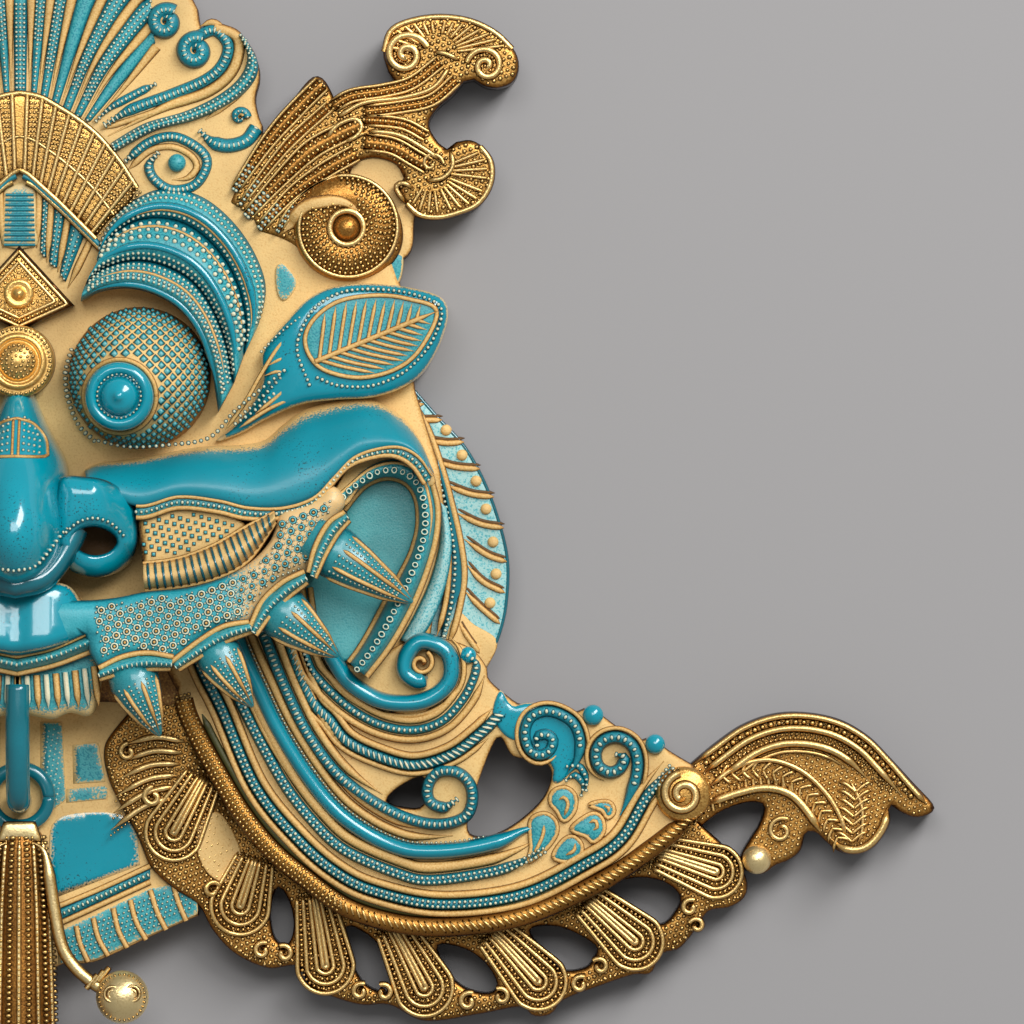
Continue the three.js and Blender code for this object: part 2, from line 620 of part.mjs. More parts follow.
// Pendant: ring, fluted tassel and two curled arms with ball heads, lying on the chin panel
const PENDANT_LOW = CHIN_TOP + PENDANT_GAP;
const TASSEL = [
  { y: -60.5, half: 3.2, high: 3 },
  { y: -63.5, half: 5.4, high: 5 },
  { y: -75, half: 6.8, high: 6.5 },
  { y: -100, half: 7.8, high: 8 },
  { y: -119.9, half: 8.6, high: 8.6 },
];
const TASSEL_FLUTES = 4;
const BALL = [20.6, -94.4];
const BALL_R = 5.4;

function tassel() {
  const steps = 2 * TASSEL_FLUTES;
  const rings = TASSEL.map(({ y, half, high }) =>
    Array.from({ length: steps + 1 }, (_, k) => {
      const angle = (k / steps) * Math.PI;
      const r = k % 2 ? 0.93 : 1.02;
      return new THREE.Vector3(half * r * Math.cos(angle), y, PENDANT_LOW + high * r * Math.sin(angle));
    }));
  return skin(rings);
}

function arm(side) {
  const [x, y] = BALL;
  const path = new THREE.CatmullRomCurve3([
    new THREE.Vector3(side * 2, -66, PENDANT_LOW + 3.4),
    new THREE.Vector3(side * 6.2, -76, PENDANT_LOW + 4),
    new THREE.Vector3(side * 11, -86, PENDANT_LOW + 4),
    new THREE.Vector3(side * (x - 3), y + 1, PENDANT_LOW + 4.6),
  ]).getPoints(4);
  const head = new THREE.SphereGeometry(BALL_R, 7, 5).translate(side * x, y, PENDANT_LOW + BALL_R);
  return [bar(path, path.map((_, i) => 1.6 + 0.4 * i), 5), solid(head)];
}

function pendant() {
  const ring = new THREE.TorusGeometry(RING_R, RING_WIRE, 5, 10);
  ring.translate(0, RING_Y, PENDANT_LOW + RING_WIRE);
  return join([solid(ring), tassel(), ...arm(1), ...arm(-1)]);
}

// Finished piece as a named mesh in its own paint
function piece(name, body, color, roughness, metalness) {
  const { vertProperties, triVerts } = body.getMesh();
  const geometry = new THREE.BufferGeometry();
  geometry.setAttribute('position', new THREE.BufferAttribute(vertProperties, 3));
  geometry.setIndex(new THREE.BufferAttribute(triVerts, 1));
  const mesh = new THREE.Mesh(geometry, new THREE.MeshStandardMaterial({ color, roughness, metalness }));
  mesh.name = name;
  return mesh;
}

const object = new THREE.Group();
object.add(piece('mask', mask(), 0x2f9fa6, 0.4, 0.1));
object.add(piece('pendant', pendant(), 0xa87a35, 0.4, 0.9));

export default object;
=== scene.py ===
import math

import bpy
import numpy as np
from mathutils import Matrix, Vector
from mathutils.geometry import delaunay_2d_cdt


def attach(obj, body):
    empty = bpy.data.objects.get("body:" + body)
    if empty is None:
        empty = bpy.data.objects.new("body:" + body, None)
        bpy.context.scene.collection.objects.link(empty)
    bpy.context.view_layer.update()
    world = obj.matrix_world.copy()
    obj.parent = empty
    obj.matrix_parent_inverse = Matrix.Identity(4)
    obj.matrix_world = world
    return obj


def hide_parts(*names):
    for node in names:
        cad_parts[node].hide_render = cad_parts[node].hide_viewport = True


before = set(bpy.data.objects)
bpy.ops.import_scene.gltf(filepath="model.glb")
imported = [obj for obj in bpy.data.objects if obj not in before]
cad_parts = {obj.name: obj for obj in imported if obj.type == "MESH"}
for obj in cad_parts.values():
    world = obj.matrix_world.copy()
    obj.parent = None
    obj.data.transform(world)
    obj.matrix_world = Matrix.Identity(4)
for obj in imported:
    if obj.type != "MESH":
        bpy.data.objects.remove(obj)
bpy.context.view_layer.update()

# Ground of the mask: the flat-backed casting that carries the crown, the face and the horns.
# Cast metal under matt sand paint, browner in the recesses and along the edges, partly dirt and partly painted
# shade, with a painted shadow under the snout.
MM = 0.001
CROWN_TOP = 10.0
FACE_TOP = 12.6


def flow(points, step=0.8, closed=False, count=None, smooth=True):
    """Even points along a smooth or a straight-sided line through the given ones, in millimetres."""
    p = np.array(points, float)
    if closed:
        ring = np.vstack([p[-1:], p, p[:2]])
    else:
        ring = np.vstack([2 * p[0] - p[1], p, 2 * p[-1] - p[-2]])
    fine = ring[1:-1]
    if smooth:
        t = np.linspace(0, 1, 14, endpoint=False)[:, None]
        parts = []
        for a, b, c, d in zip(ring, ring[1:], ring[2:], ring[3:]):
            bend = (2 * a - 5 * b + 4 * c - d) * t**2 + (3 * b - a - 3 * c + d) * t**3
            parts.append(0.5 * (2 * b + (c - a) * t + bend))
        fine = np.vstack(parts + [ring[-2:-1]])
    run = np.concatenate([[0], np.cumsum(np.linalg.norm(np.diff(fine[:, :2], axis=0), axis=1))])
    if count is None:
        count = max(2, int(round(run[-1] / step)) + 1)
    at = np.linspace(0, run[-1], count)
    even = np.stack([np.interp(at, run, column) for column in fine.T], 1)
    return even[:-1] if closed else even


def flipped(path):
    """The same line on the mask's other side."""
    path = np.array(path, float)
    return path * ([-1] + [1] * (path.shape[1] - 1))


def whole(half):
    """Closed outline from its right half, which runs from the axis round to the axis."""
    return np.vstack([half, flipped(half)[::-1]])


def ease(t):
    t = np.clip(t, 0, 1)
    return t * t * (3 - 2 * t)


def inside(spots, loop):
    x, y = spots[:, 0:1], spots[:, 1:2]
    a, b = loop, np.roll(loop, -1, 0)
    rise = b[:, 1] - a[:, 1]
    at = a[:, 0] + (y - a[:, 1]) * (b[:, 0] - a[:, 0]) / np.where(rise == 0, 1e-9, rise)
    return (((a[:, 1] > y) != (b[:, 1] > y)) & (x < at)).sum(1) % 2 == 1


def reach(spots, loops):
    """Distance from each spot to the nearest edge line."""
    a = np.vstack(loops)
    d = np.vstack([np.roll(loop, -1, 0) for loop in loops]) - a
    size = np.maximum((d * d).sum(1), 1e-9)
    out = []
    for some in np.array_split(spots, 1 + len(spots) * len(a) // 1500000):
        v = some[:, None] - a
        t = np.clip((v * d).sum(2) / size, 0, 1)
        out.append(np.linalg.norm(v - t[..., None] * d, axis=2).min(1))
    return np.concatenate(out)


def sheet(flat, edges, loops):
    """Triangles between the outline and its holes."""
    got, _, faces, *_ = delaunay_2d_cdt([Vector(p) for p in flat], edges, [], 0, 1e-5)
    flat = np.array([tuple(p) for p in got])
    faces = np.array([f for f in faces if len(f) == 3])
    middle = flat[faces].mean(1)
    keep = inside(middle, loops[0])
    for hole in loops[1:]:
        keep &= ~inside(middle, hole)
    faces = faces[keep]
    a, b, c = flat[faces[:, 0]], flat[faces[:, 1]], flat[faces[:, 2]]
    turn = (b[:, 0] - a[:, 0]) * (c[:, 1] - a[:, 1]) - (b[:, 1] - a[:, 1]) * (c[:, 0] - a[:, 0])
    faces[turn < 0] = faces[turn < 0][:, ::-1]
    return flat, faces[np.abs(turn) > 1e-9]


def plate(outline, top, holes=(), edge=1.2, cell=1.6, low=0, fade=3):
    """Cast plate: a top that may swell, a rounded upper edge, upright walls and a flat back."""
    loops = [np.array(loop, float) for loop in (outline, *holes)]
    rim = np.vstack(loops)
    spots = []
    for n, loop in enumerate(loops):
        along = np.roll(loop, -1, 0) - np.roll(loop, 1, 0)
        side = np.stack([-along[:, 1], along[:, 0]], 1) / np.linalg.norm(along, axis=1)[:, None]
        area = (loop[:, 0] * np.roll(loop[:, 1], -1) - np.roll(loop[:, 0], -1) * loop[:, 1]).sum()
        inward = side * (1 if (area > 0) == (n == 0) else -1)
        for share in (0.3, 1):
            spots.append((loop + inward * edge * share, edge * share * 0.9))
    (x0, y0), (x1, y1) = rim.min(0), rim.max(0)
    rows = np.arange(y0, y1, cell * 0.866)
    grid = [(x + (j % 2) * cell / 2, y) for j, y in enumerate(rows) for x in np.arange(x0, x1, cell)]
    spots.append((np.array(grid), edge + 0.45 * cell))
    kept = [rim]
    for some, clear in spots:
        good = inside(some, loops[0])
        for hole in loops[1:]:
            good &= ~inside(some, hole)
        some = some[good]
        kept.append(some[reach(some, loops) > clear])
    edges, start = [], 0
    for loop in loops:
        edges += [(start + i, start + (i + 1) % len(loop)) for i in range(len(loop))]
        start += len(loop)
    flat, faces = sheet(np.vstack(kept), edges, loops)
    away = reach(flat, loops)
    drop = edge * (1 - np.sqrt(np.clip(1 - (1 - np.minimum(away / edge, 1)) ** 2, 0, 1)))
    level = top(flat) if callable(top) else np.full(len(flat), float(top))
    sides = np.vstack([faces[:, [0, 1]], faces[:, [1, 2]], faces[:, [2, 0]]])
    known = set(map(tuple, sides.tolist()))
    border = [(a, b) for a, b in known if (b, a) not in known]
    feet = {v: i for i, v in enumerate(sorted({v for pair in border for v in pair}))}
    foot_flat = flat[list(feet)]
    under, under_faces = sheet(foot_flat, [(feet[a], feet[b]) for a, b in border], loops)
    n = len(flat)
    verts = np.vstack([np.c_[flat, level - drop], np.c_[under, np.full(len(under), low)]])
    walls = [(a, n + feet[a], n + feet[b], b) for a, b in border]
    # Painted shade: the crest falls from 1 on the top to 0 over the rounded edge and is 0 on the walls and back,
    # so these take the dark end of a finish's ramp.
    crest = np.r_[1 - drop / edge, np.zeros(len(under))]
    return {
        "verts": verts,
        "faces": faces.tolist() + walls + (under_faces[:, ::-1] + n).tolist(),
        "crest": crest,
        "fade": np.r_[np.clip(away / fade, 0, 1), np.zeros(len(under))],
    }


def turned(form):
    """The same form on the mask's other side."""
    return {**form, "verts": flipped(form["verts"]), "faces": [tuple(f)[::-1] for f in form["faces"]]}


def both(forms):
    return [*forms, *[turned(form) for form in forms]]


def shade(code):
    """Linear colour from a painter's hex code."""
    parts = [int(code[i:i + 2], 16) / 255 for i in (1, 3, 5)]
    return (*[c / 12.92 if c < 0.04045 else ((c + 0.055) / 1.055) ** 2.4 for c in parts], 1)


def finish(name, stops, metal=0, rough=0.5, coat=0, worn=None, specks=None, grain=0.3, mottle=0.16):
    """Paint or plating whose colour runs from dark to light with the crest value, painted shade on walls, sides
    and hollows and painted light on tops, mixed with real patina and rubbed wear; with worn edges, specks and
    fine grain.
    """
    mat = bpy.data.materials.new(name)
    mat.use_nodes = True
    nodes, links = mat.node_tree.nodes, mat.node_tree.links
    place = nodes.new("ShaderNodeTexCoord").outputs["Object"]

    def noise(scale, detail=3):
        node = nodes.new("ShaderNodeTexNoise")
        node.inputs["Scale"].default_value = scale
        node.inputs["Detail"].default_value = detail
        links.new(place, node.inputs["Vector"])
        return node.outputs["Fac"]

    def attribute(label):
        node = nodes.new("ShaderNodeAttribute")
        node.attribute_name = label
        return node.outputs["Fac"]

    def sums(kind, *values):
        node = nodes.new("ShaderNodeMath")
        node.operation = kind
        for socket, value in zip(node.inputs, values):
            if isinstance(value, (int, float)):
                socket.default_value = value
            else:
                links.new(value, socket)
        return node.outputs[0]

    def steps(value, low, high, to_low=0, to_high=1):
        node = nodes.new("ShaderNodeMapRange")
        links.new(value, node.inputs["Value"])
        for label, number in zip(("From Min", "From Max", "To Min", "To Max"), (low, high, to_low, to_high)):
            node.inputs[label].default_value = number
        return node.outputs["Result"]

    def blend(share, a, b):
        node = nodes.new("ShaderNodeMix")
        node.data_type = "RGBA"
        links.new(share, node.inputs[0])
        for socket, value in ((node.inputs[6], a), (node.inputs[7], b)):
            if isinstance(value, tuple):
                socket.default_value = value
            else:
                links.new(value, socket)
        return node.outputs[2]

    fine, broad = noise(2600), noise(75)
    height = sums("ADD", attribute("crest"), sums("MULTIPLY", sums("SUBTRACT", fine, 0.5), grain))
    # The ramp turns the crest into colour: its dark stops are painted shade and its light stops painted light,
    # besides patina and wear.
    ramp = nodes.new("ShaderNodeValToRGB")
    links.new(height, ramp.inputs["Fac"])
    for i, (at, code) in enumerate(stops):
        spot = ramp.color_ramp.elements[i] if i < 2 else ramp.color_ramp.elements.new(at)
        spot.position = at
        spot.color = shade(code)
    colour = ramp.outputs["Color"]
    if worn:
        left = sums("ADD", attribute("fade"), sums("MULTIPLY", sums("SUBTRACT", fine, 0.5), 1.5))
        colour = blend(steps(left, 0.3, 0.62), shade(worn), colour)
    if specks:
        spotted = sums("ADD", fine, sums("MULTIPLY", broad, 0.55))
        colour = blend(steps(spotted, specks, specks + 0.05, 0, 0.8), colour, shade("#123034"))
    tone = nodes.new("ShaderNodeHueSaturation")
    links.new(steps(broad, 0.25, 0.75, 1 - mottle, 1 + mottle), tone.inputs["Value"])
    links.new(colour, tone.inputs["Color"])
    bump = nodes.new("ShaderNodeBump")
    bump.inputs["Strength"].default_value = 0.12 if coat else 0.3
    bump.inputs["Distance"].default_value = 0.0002
    links.new(broad if coat else fine, bump.inputs["Height"])
    shader = nodes["Principled BSDF"]
    links.new(tone.outputs["Color"], shader.inputs["Base Color"])
    links.new(steps(fine, 0.3, 0.7, rough * 0.8, rough * 1.2), shader.inputs["Roughness"])
    links.new(bump.outputs["Normal"], shader.inputs["Normal"])
    shader.inputs["Metallic"].default_value = metal
    shader.inputs["Coat Weight"].default_value = coat
    shader.inputs["Coat Roughness"].default_value = 0.06
    return mat


def fixed(made, node):
    """Ties a finished piece to the casting it belongs to."""
    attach(made, "root")
    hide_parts(node)
    return made


def piece(name, forms, paint, node="mask"):
    verts, faces, start = [], [], 0
    for form in forms:
        verts.append(form["verts"])
        faces += [tuple(v + start for v in f) for f in form["faces"]]
        start += len(form["verts"])
    mesh = bpy.data.meshes.new(name)
    mesh.from_pydata(np.vstack(verts) * MM, [], faces)
    for label in ("crest", "fade"):
        values = np.concatenate([form[label] for form in forms])
        mesh.attributes.new(label, "FLOAT", "POINT").data.foreach_set("value", values)
    mesh.shade_smooth()
    mesh.materials.append(paint)
    made = bpy.data.objects.new(name, mesh)
    bpy.context.scene.collection.objects.link(made)
    return fixed(made, node)


def ground(p):
    """Level of the sand ground, which rises from the crown to the face."""
    return CROWN_TOP + (FACE_TOP - CROWN_TOP) * ease((90 - p[:, 1]) / 22)


sand = finish("sand paint", [(0, "#4a2f10"), (0.3, "#966630"), (0.66, "#cb9b52"), (1, "#e2bc79")],
    rough=0.66, grain=1.05, mottle=0.18)
FAN_MID = np.array([0, 64.8])
rib_ends = [(2.4, 118), (7.6, 116.4), (12.8, 113.6), (19.8, 110.8), (26, 107.2), (33.2, 107.6)]
fan_edge = []
for left, right in zip([(-2.4, 118), *rib_ends], rib_ends):
    middle = (np.array(left) + right) / 2 - FAN_MID
    fan_edge += [FAN_MID + middle * (1 + 1.8 / np.linalg.norm(middle)), np.array(right)]
crown_side = [
    (35.4, 103.2), (36.2, 99.4), (38.8, 98.8), (42.4, 98.8), (46, 95.8), (47.6, 91.8), (47.8, 88.8), (47, 85.2),
    (47.6, 81.8), (48.4, 79.8),
]
face_side = [
    (48.4, 76.4), (56, 64.8), (74, 53.8), (76.4, 46.8), (79, 26.8), (84, 10.8), (85.2, 0.8), (82, -23.2),
    (76, -39.2), (46, -38.2), (18, -35.6),
]
ground_half = np.vstack([
    flow([(0, 118.4), *fan_edge], 1), flow(crown_side, 1), flow(face_side, 1.6, smooth=False),
])
horn_web = flow([(54, 74.8), (68, 76.8), (82, 71.8), (79, 61.8), (76.8, 53.2), (62, 51.2), (50, 58.8)], 1.2,
    closed=True)
ground_plate = plate(whole(ground_half), ground, cell=2.4)
# Painted shadow: the sand ground is darkened below the snout, where the snout and fangs cast shade.
snout_shadow = ease((-20 - ground_plate["verts"][:, 1]) / 8)
ground_plate["crest"] = ground_plate["crest"] * (1 - 0.62 * snout_shadow)
piece("sand_ground", [ground_plate, *both([plate(horn_web, 11.6, edge=0.8)])], sand)

# Crown fan: sand ribs that spread from the gold arch to a scalloped edge, with turquoise flutes between them.
# All cast with the ground; the flutes are painted and filled with rows of beads, pale on the crests partly from
# rubbing and partly as painted highlight.
RIB_WIDE = 2.3
BEAD_PITCH = 0.95


def rib(path, on, wide, lift, taper=(0, 0)):
    """A carved rib: its line on the ground, width and lift, and the run over which each end thins out."""
    path = np.array(path, float)
    flat = path[:, :2]
    level = path[:, 2] if path.shape[1] > 2 else (on(flat) if callable(on) else np.full(len(path), float(on)))
    run = np.concatenate([[0], np.cumsum(np.linalg.norm(np.diff(flat, axis=0), axis=1))])
    thin = np.minimum(
        np.clip(run / taper[0], 0.12, 1) if taper[0] else 1, np.clip((run[-1] - run) / taper[1], 0.12,
        1) if taper[1] else 1)
    half = wide / 2 * thin * np.ones(len(path))
    return np.c_[flat, level, half, np.full(len(path), 2 * lift / wide)]


def row(path, on, pitch=BEAD_PITCH, along=0.8, across=0.8, high=0.45):
    """A row of beads: their line, pitch and size."""
    path = flow(path, pitch)
    flat = path[:, :2]
    level = path[:, 2] if path.shape[1] > 2 else (on(flat) if callable(on) else np.full(len(path), float(on)))
    ahead = np.gradient(flat, axis=0)
    turn = np.arctan2(ahead[:, 1], ahead[:, 0])
    return np.c_[flat, level, turn, np.tile([along / 2, across / 2, high], (len(path), 1))]


def paired(rows):
    """Rows on both sides of the mask."""
    return [*rows, *[flipped(r) for r in rows]]


def paired_beads(rows):
    twins = [flipped(r) for r in rows]
    for twin in twins:
        twin[:, 3] = math.pi - twin[:, 3]
    return [*rows, *twins]


def tree_start(name, numbers):
    """Node tree with a geometry input, its named sizes and a finish."""
    tree = bpy.data.node_groups.new(name, "GeometryNodeTree")
    tree.interface.new_socket("Lines", in_out="INPUT", socket_type="NodeSocketGeometry")
    for label, (kind, value) in numbers.items():
        socket = tree.interface.new_socket(label, in_out="INPUT", socket_type=kind)
        socket.default_value = value
    tree.interface.new_socket("Finish", in_out="INPUT", socket_type="NodeSocketMaterial")
    tree.interface.new_socket("Carving", in_out="OUTPUT", socket_type="NodeSocketGeometry")
    source = tree.nodes.new("NodeGroupInput")

    def put(kind, inputs=(), **settings):
        node = tree.nodes.new(kind)
        for label, value in settings.items():
            setattr(node, label, value)
        for key, value in dict(inputs).items():
            if isinstance(value, bpy.types.NodeSocket):
                tree.links.new(value, node.inputs[key])
            else:
                node.inputs[key].default_value = value
        return node

    def named(label, kind="FLOAT"):
        return put("GeometryNodeInputNamedAttribute", {"Name": label}, data_type=kind).outputs["Attribute"]

    def close(carving):
        # Painted light and shade: each carving's crest is how far its surface faces up, so tops take the light
        # end of the finish's ramp and sides the dark end.
        lit = put("ShaderNodeSeparateXYZ", {0: put("GeometryNodeInputNormal").outputs["Normal"]}).outputs["Z"]
        kept = put("GeometryNodeStoreNamedAttribute", {"Geometry": carving, "Name": "crest", "Value": lit})
        whole_paint = put("GeometryNodeStoreNamedAttribute", {"Geometry": kept.outputs["Geometry"],
            "Name": "fade", "Value": 1.0})
        soft = put("GeometryNodeSetShadeSmooth", {0: whole_paint.outputs["Geometry"]})
        real = put("GeometryNodeRealizeInstances", {0: soft.outputs[0]})
        painted = put("GeometryNodeSetMaterial", {"Geometry": real.outputs[0],
            "Material": source.outputs["Finish"]})
        tree.links.new(painted.outputs[0], tree.nodes.new("NodeGroupOutput").inputs[0])
        return tree

    return source, put, named, close


source, put, named, close = tree_start("Carved ribs", {"Profile sides": ("NodeSocketInt", 6)})
curve = put("GeometryNodeMeshToCurve", {"Mesh": source.outputs["Lines"]}).outputs[0]
curve = put("GeometryNodeSetCurveNormal", {"Curve": curve}, mode="Z_UP").outputs[0]
section = put("GeometryNodeCurvePrimitiveCircle", {"Resolution": source.outputs["Profile sides"],
    "Radius": 1.0})
swept = put("GeometryNodeCurveToMesh", {
    "Curve": curve, "Profile Curve": section.outputs[0], "Scale": named("half"), "Fill Caps": True})
over = put("ShaderNodeSeparateXYZ", {0: put("GeometryNodeInputPosition").outputs[0]}).outputs["Z"]
spine = named("spine")
above = put("ShaderNodeMath", {0: over, 1: spine}, operation="SUBTRACT").outputs[0]
extra = put("ShaderNodeMath", {0: named("rise"), 1: 1.0}, operation="SUBTRACT").outputs[0]
shift = put("ShaderNodeMath", {0: above, 1: extra}, operation="MULTIPLY").outputs[0]
lifted = put("GeometryNodeSetPosition", {
    "Geometry": swept.outputs[0], "Offset": put("ShaderNodeCombineXYZ", {"Z": shift}).outputs[0]})
RIB_TREE = close(lifted.outputs[0])


def bead_tree(name, shape):
    sizes = {"Size spread": ("NodeSocketFloat", 0.16), "Seed": ("NodeSocketInt", 7)}
    source, put, named, close = tree_start(name, sizes)
    least = put("ShaderNodeMath", {0: 1, 1: source.outputs["Size spread"]}, operation="SUBTRACT").outputs[0]
    chance = put("FunctionNodeRandomValue", {"Seed": source.outputs["Seed"]})
    chance.id_data.links.new(least, chance.inputs[2])
    chance.inputs[3].default_value = 1.08
    scale = put("ShaderNodeVectorMath", {0: named("size", "FLOAT_VECTOR")}, operation="SCALE")
    chance.id_data.links.new(chance.outputs[1], scale.inputs["Scale"])
    angles = put("ShaderNodeCombineXYZ", {"Z": named("turn")}).outputs[0]
    facing = put("FunctionNodeEulerToRotation", {0: angles}).outputs[0]
    placed = put("GeometryNodeInstanceOnPoints", {
        "Points": source.outputs["Lines"], "Instance": shape(put), "Rotation": facing,
        "Scale": scale.outputs[0]})
    real = put("GeometryNodeRealizeInstances", {0: placed.outputs[0]})
    return close(real.outputs[0])


def round_bead(put):
    return put("GeometryNodeMeshCone", {"Vertices": 6, "Radius Top": 0.55, "Radius Bottom": 1,
        "Depth": 1.0}).outputs[0]


BEAD_TREE = bead_tree("Bead rows", round_bead)


def grown(name, mesh, tree, settings, paint, node):
    """Runs a node tree on a mesh of lines or points and keeps the result as a plain mesh."""
    made = bpy.data.objects.new(name, mesh)
    bpy.context.scene.collection.objects.link(made)
    work = made.modifiers.new("Carving", "NODES")
    work.node_group = tree
    sockets = {s.name: s.identifier for s in tree.interface.items_tree if s.in_out == "INPUT"}
    for label, value in {**settings, "Finish": paint}.items():
        work[sockets[label]] = value
    graph = bpy.context.evaluated_depsgraph_get()
    result = bpy.data.meshes.new_from_object(made.evaluated_get(graph), depsgraph=graph)
    made.modifiers.clear()
    made.data = result
    if not result.materials:
        result.materials.append(paint)
    return fixed(made, node)


def ribs(name, rows, paint, sides=6, node="mask"):
    edges, start = [], 0
    for line in rows:
        edges += [(start + i, start + i + 1) for i in range(len(line) - 1)]
        start += len(line)
    data = np.vstack(rows)
    mesh = bpy.data.meshes.new(name)
    mesh.from_pydata(data[:, :3] * MM, edges, [])
    for label, values in (("half", data[:, 3] * MM), ("rise", data[:, 4]), ("spine", data[:, 2] * MM)):
        mesh.attributes.new(label, "FLOAT", "POINT").data.foreach_set("value", values)
    return grown(name, mesh, RIB_TREE, {"Profile sides": sides}, paint, node)


def beads(name, rows, paint, tree=BEAD_TREE, spread=0.16, node="mask"):
    data = np.vstack(rows)
    mesh = bpy.data.meshes.new(name)
    mesh.from_pydata(data[:, :3] * MM, [], [])
    mesh.attributes.new("turn", "FLOAT", "POINT").data.foreach_set("value", data[:, 3])
    mesh.attributes.new("size", "FLOAT_VECTOR", "POINT").data.foreach_set("vector", (data[:, 4:7] * MM).ravel())
    return grown(name, mesh, tree, {"Size spread": spread, "Seed": 7}, paint, node)


def skin(rings, crest):
    """Closed form over a row of rings, with a flat cap at each end."""
    rings = np.array(rings, float)
    count, sides = rings.shape[:2]
    faces = []
    for r in range(count - 1):
        for k in range(sides):
            a, b = r * sides + k, r * sides + (k + 1) % sides
            faces.append((a, b, b + sides, a + sides))
    faces += [tuple(range(sides))[::-1], tuple(range((count - 1) * sides, count * sides))]
    verts = rings.reshape(-1, 3)
    volume = sum(np.dot(verts[f[0]], np.cross(verts[f[i]], verts[f[i + 1]])) for f in faces for i in range(1,
        len(f) - 1))
    if volume < 0:
        faces = [f[::-1] for f in faces]
    return {"verts": verts, "faces": faces, "crest": np.array(crest, float).ravel(),
        "fade": np.ones(len(verts))}


def across(edge_a, edge_b, s):
    return np.array(edge_a) * (1 - s) + np.array(edge_b) * s


def lane(edge_a, edge_b, heights, s):
    """Line along a band, at a share of its width, on the band's surface."""
    level = np.interp(s, np.linspace(0, 1, len(heights)), heights)
    return np.c_[across(edge_a, edge_b, s), np.full(len(edge_a), level)]


def band(edge_a, edge_b, heights, low, steps=10, fade=(0, 0)):
    """Swelling strip between two edge lines; `heights` is its section and `fade` the worn share at each edge."""
    spread = np.linspace(0, 1, steps + 1)
    rise = flow(np.c_[np.linspace(0, 1, len(heights)), heights], count=200)
    tops = [np.c_[across(edge_a, edge_b, s), np.full(len(edge_a),
        np.interp(s, rise[:, 0], rise[:, 1]))] for s in spread]
    feet = [np.c_[np.array(e), np.full(len(e), low)] for e in (edge_a, edge_b)]
    # Crest of the band: light along its middle, partly rubbed pale and partly painted light, falling to painted
    # shade at its edges and feet.
    rub_and_shade = np.clip(np.minimum(spread, 1 - spread) / 0.14 + 0.1, 0, 1)
    form = skin(np.stack([feet[0], *tops, feet[1]], 1), np.tile([0, *rub_and_shade, 0], (len(edge_a), 1)))
    left = np.clip(spread / fade[0], 0, 1) if fade[0] else np.ones(steps + 1)
    right = np.clip((1 - spread) / fade[1], 0, 1) if fade[1] else np.ones(steps + 1)
    form["fade"] = np.tile([0, *np.minimum(left, right), 0], (len(edge_a), 1)).ravel()
    return form


def lathe(centre, profile, low, sides=40):
    """Turned boss: rings of (radius, level), closed flat below."""
    angle = np.linspace(0, 2 * math.pi, sides, endpoint=False)
    turn = np.c_[np.cos(angle), np.sin(angle)]
    rings = [np.c_[np.array(centre) + turn * r, np.full(sides, z)] for r, z in [(profile[0][0], low), *profile]]
    # The foot ring gets crest 0, painted shade where the boss meets the ground.
    return skin(rings, np.repeat([0, *np.ones(len(profile))], sides))


def scroll(centre, r, start, turns, hand=1, end=0.12, count=70):
    """Line that winds inwards from a circle."""
    t = np.linspace(0, 1, count)
    angle = np.radians(start) + hand * 2 * math.pi * turns * t
    size = r * (1 - (1 - end) * t ** 0.85)
    return np.c_[centre[0] + size * np.cos(angle), centre[1] + size * np.sin(angle)]


turquoise_flute = finish(
    "flute turquoise", [(0, "#043a44"), (0.5, "#0b7280"), (0.94, "#188592"), (1, "#3f9fa4")],
    rough=0.42, grain=1, worn="#d8bc80")
# Bead finish: dark teal at the foot of each bead, painted shade, up to cream on top, partly worn pale paint and
# partly painted highlight.
turquoise_bead = finish(
    "beaded turquoise", [(0, "#0a4550"), (0.36, "#2a929d"), (0.56, "#7db9b4"),
    (0.72, "#d2ccaa"), (1, "#eadfbd")],
    rough=0.38, grain=0.42)
stud_turquoise = finish(
    "stud turquoise", [(0, "#063e48"), (0.4, "#137a87"), (0.75, "#3a9ba2"), (1, "#8fc3bb")],
    rough=0.35, grain=0.4)
glossy_turquoise = finish(
    "glossy turquoise", [(0, "#023f4a"), (0.5, "#007f90"), (1, "#0090a2")], rough=0.2,
    coat=0.75, worn="#dcc08a",
    specks=0.94, mottle=0.1)

fan_ribs = [
    [(2.4, 117.6), (2.2, 104.8), (1.8, 86.4)],
    [(7.6, 116), (6, 104.8), (3.6, 85.6)],
    [(12.8, 113.2), (10.2, 104.8), (5.8, 84.4)],
    [(19.8, 110.4), (16.2, 104.8), (12, 94.8), (8, 83.4)],
    [(26, 106.8), (22.6, 104), (15.4, 93.4), (10.4, 82.2)],
    [(26.2, 99.8), (18.2, 90.4), (12.6, 81.2)],
    [(27.2, 95.6), (20.2, 86.8), (14.4, 80.4)],
]
fan_lines = [flow(line, count=40) for line in fan_ribs]
spokes = [rib(line, ground, RIB_WIDE, 1.3, taper=(0, 20)) for line in fan_lines]
flutes, plain_flutes, flute_rows = [], [], []
cells = [(flipped(fan_lines[0]), fan_lines[0], "centre")]
cells += [(a, b, kind) for a, b, kind in zip(fan_lines, fan_lines[1:],
    ("beads", "beads", "plain", "beads", "beads", "plain"))]
for left, right, kind in cells:
    a, b = across(left, right, 0.17), across(left, right, 0.83)
    levels = ground(across(a, b, 0.5))
    strip = band(a, b, [0.2, 0.75, 0.75, 0.2], -1, steps=5)
    lift = np.repeat(levels, 8)
    strip["verts"][:, 2] += lift
    (plain_flutes if kind == "plain" else flutes).append(strip)
    wide = np.linalg.norm(a - b, axis=1)
    begin = {"centre": 17, "plain": 34}.get(kind, 0)
    for s in (0.22, 0.5, 0.78):
        line = np.c_[across(a, b, s), levels + 0.7][begin:]
        fits = wide[begin:] > (1.1 if s == 0.5 else 2)
        if fits.sum() > 4:
            flute_rows.append(row(line[fits], None, 0.92, 0.72, 0.72, 0.4))

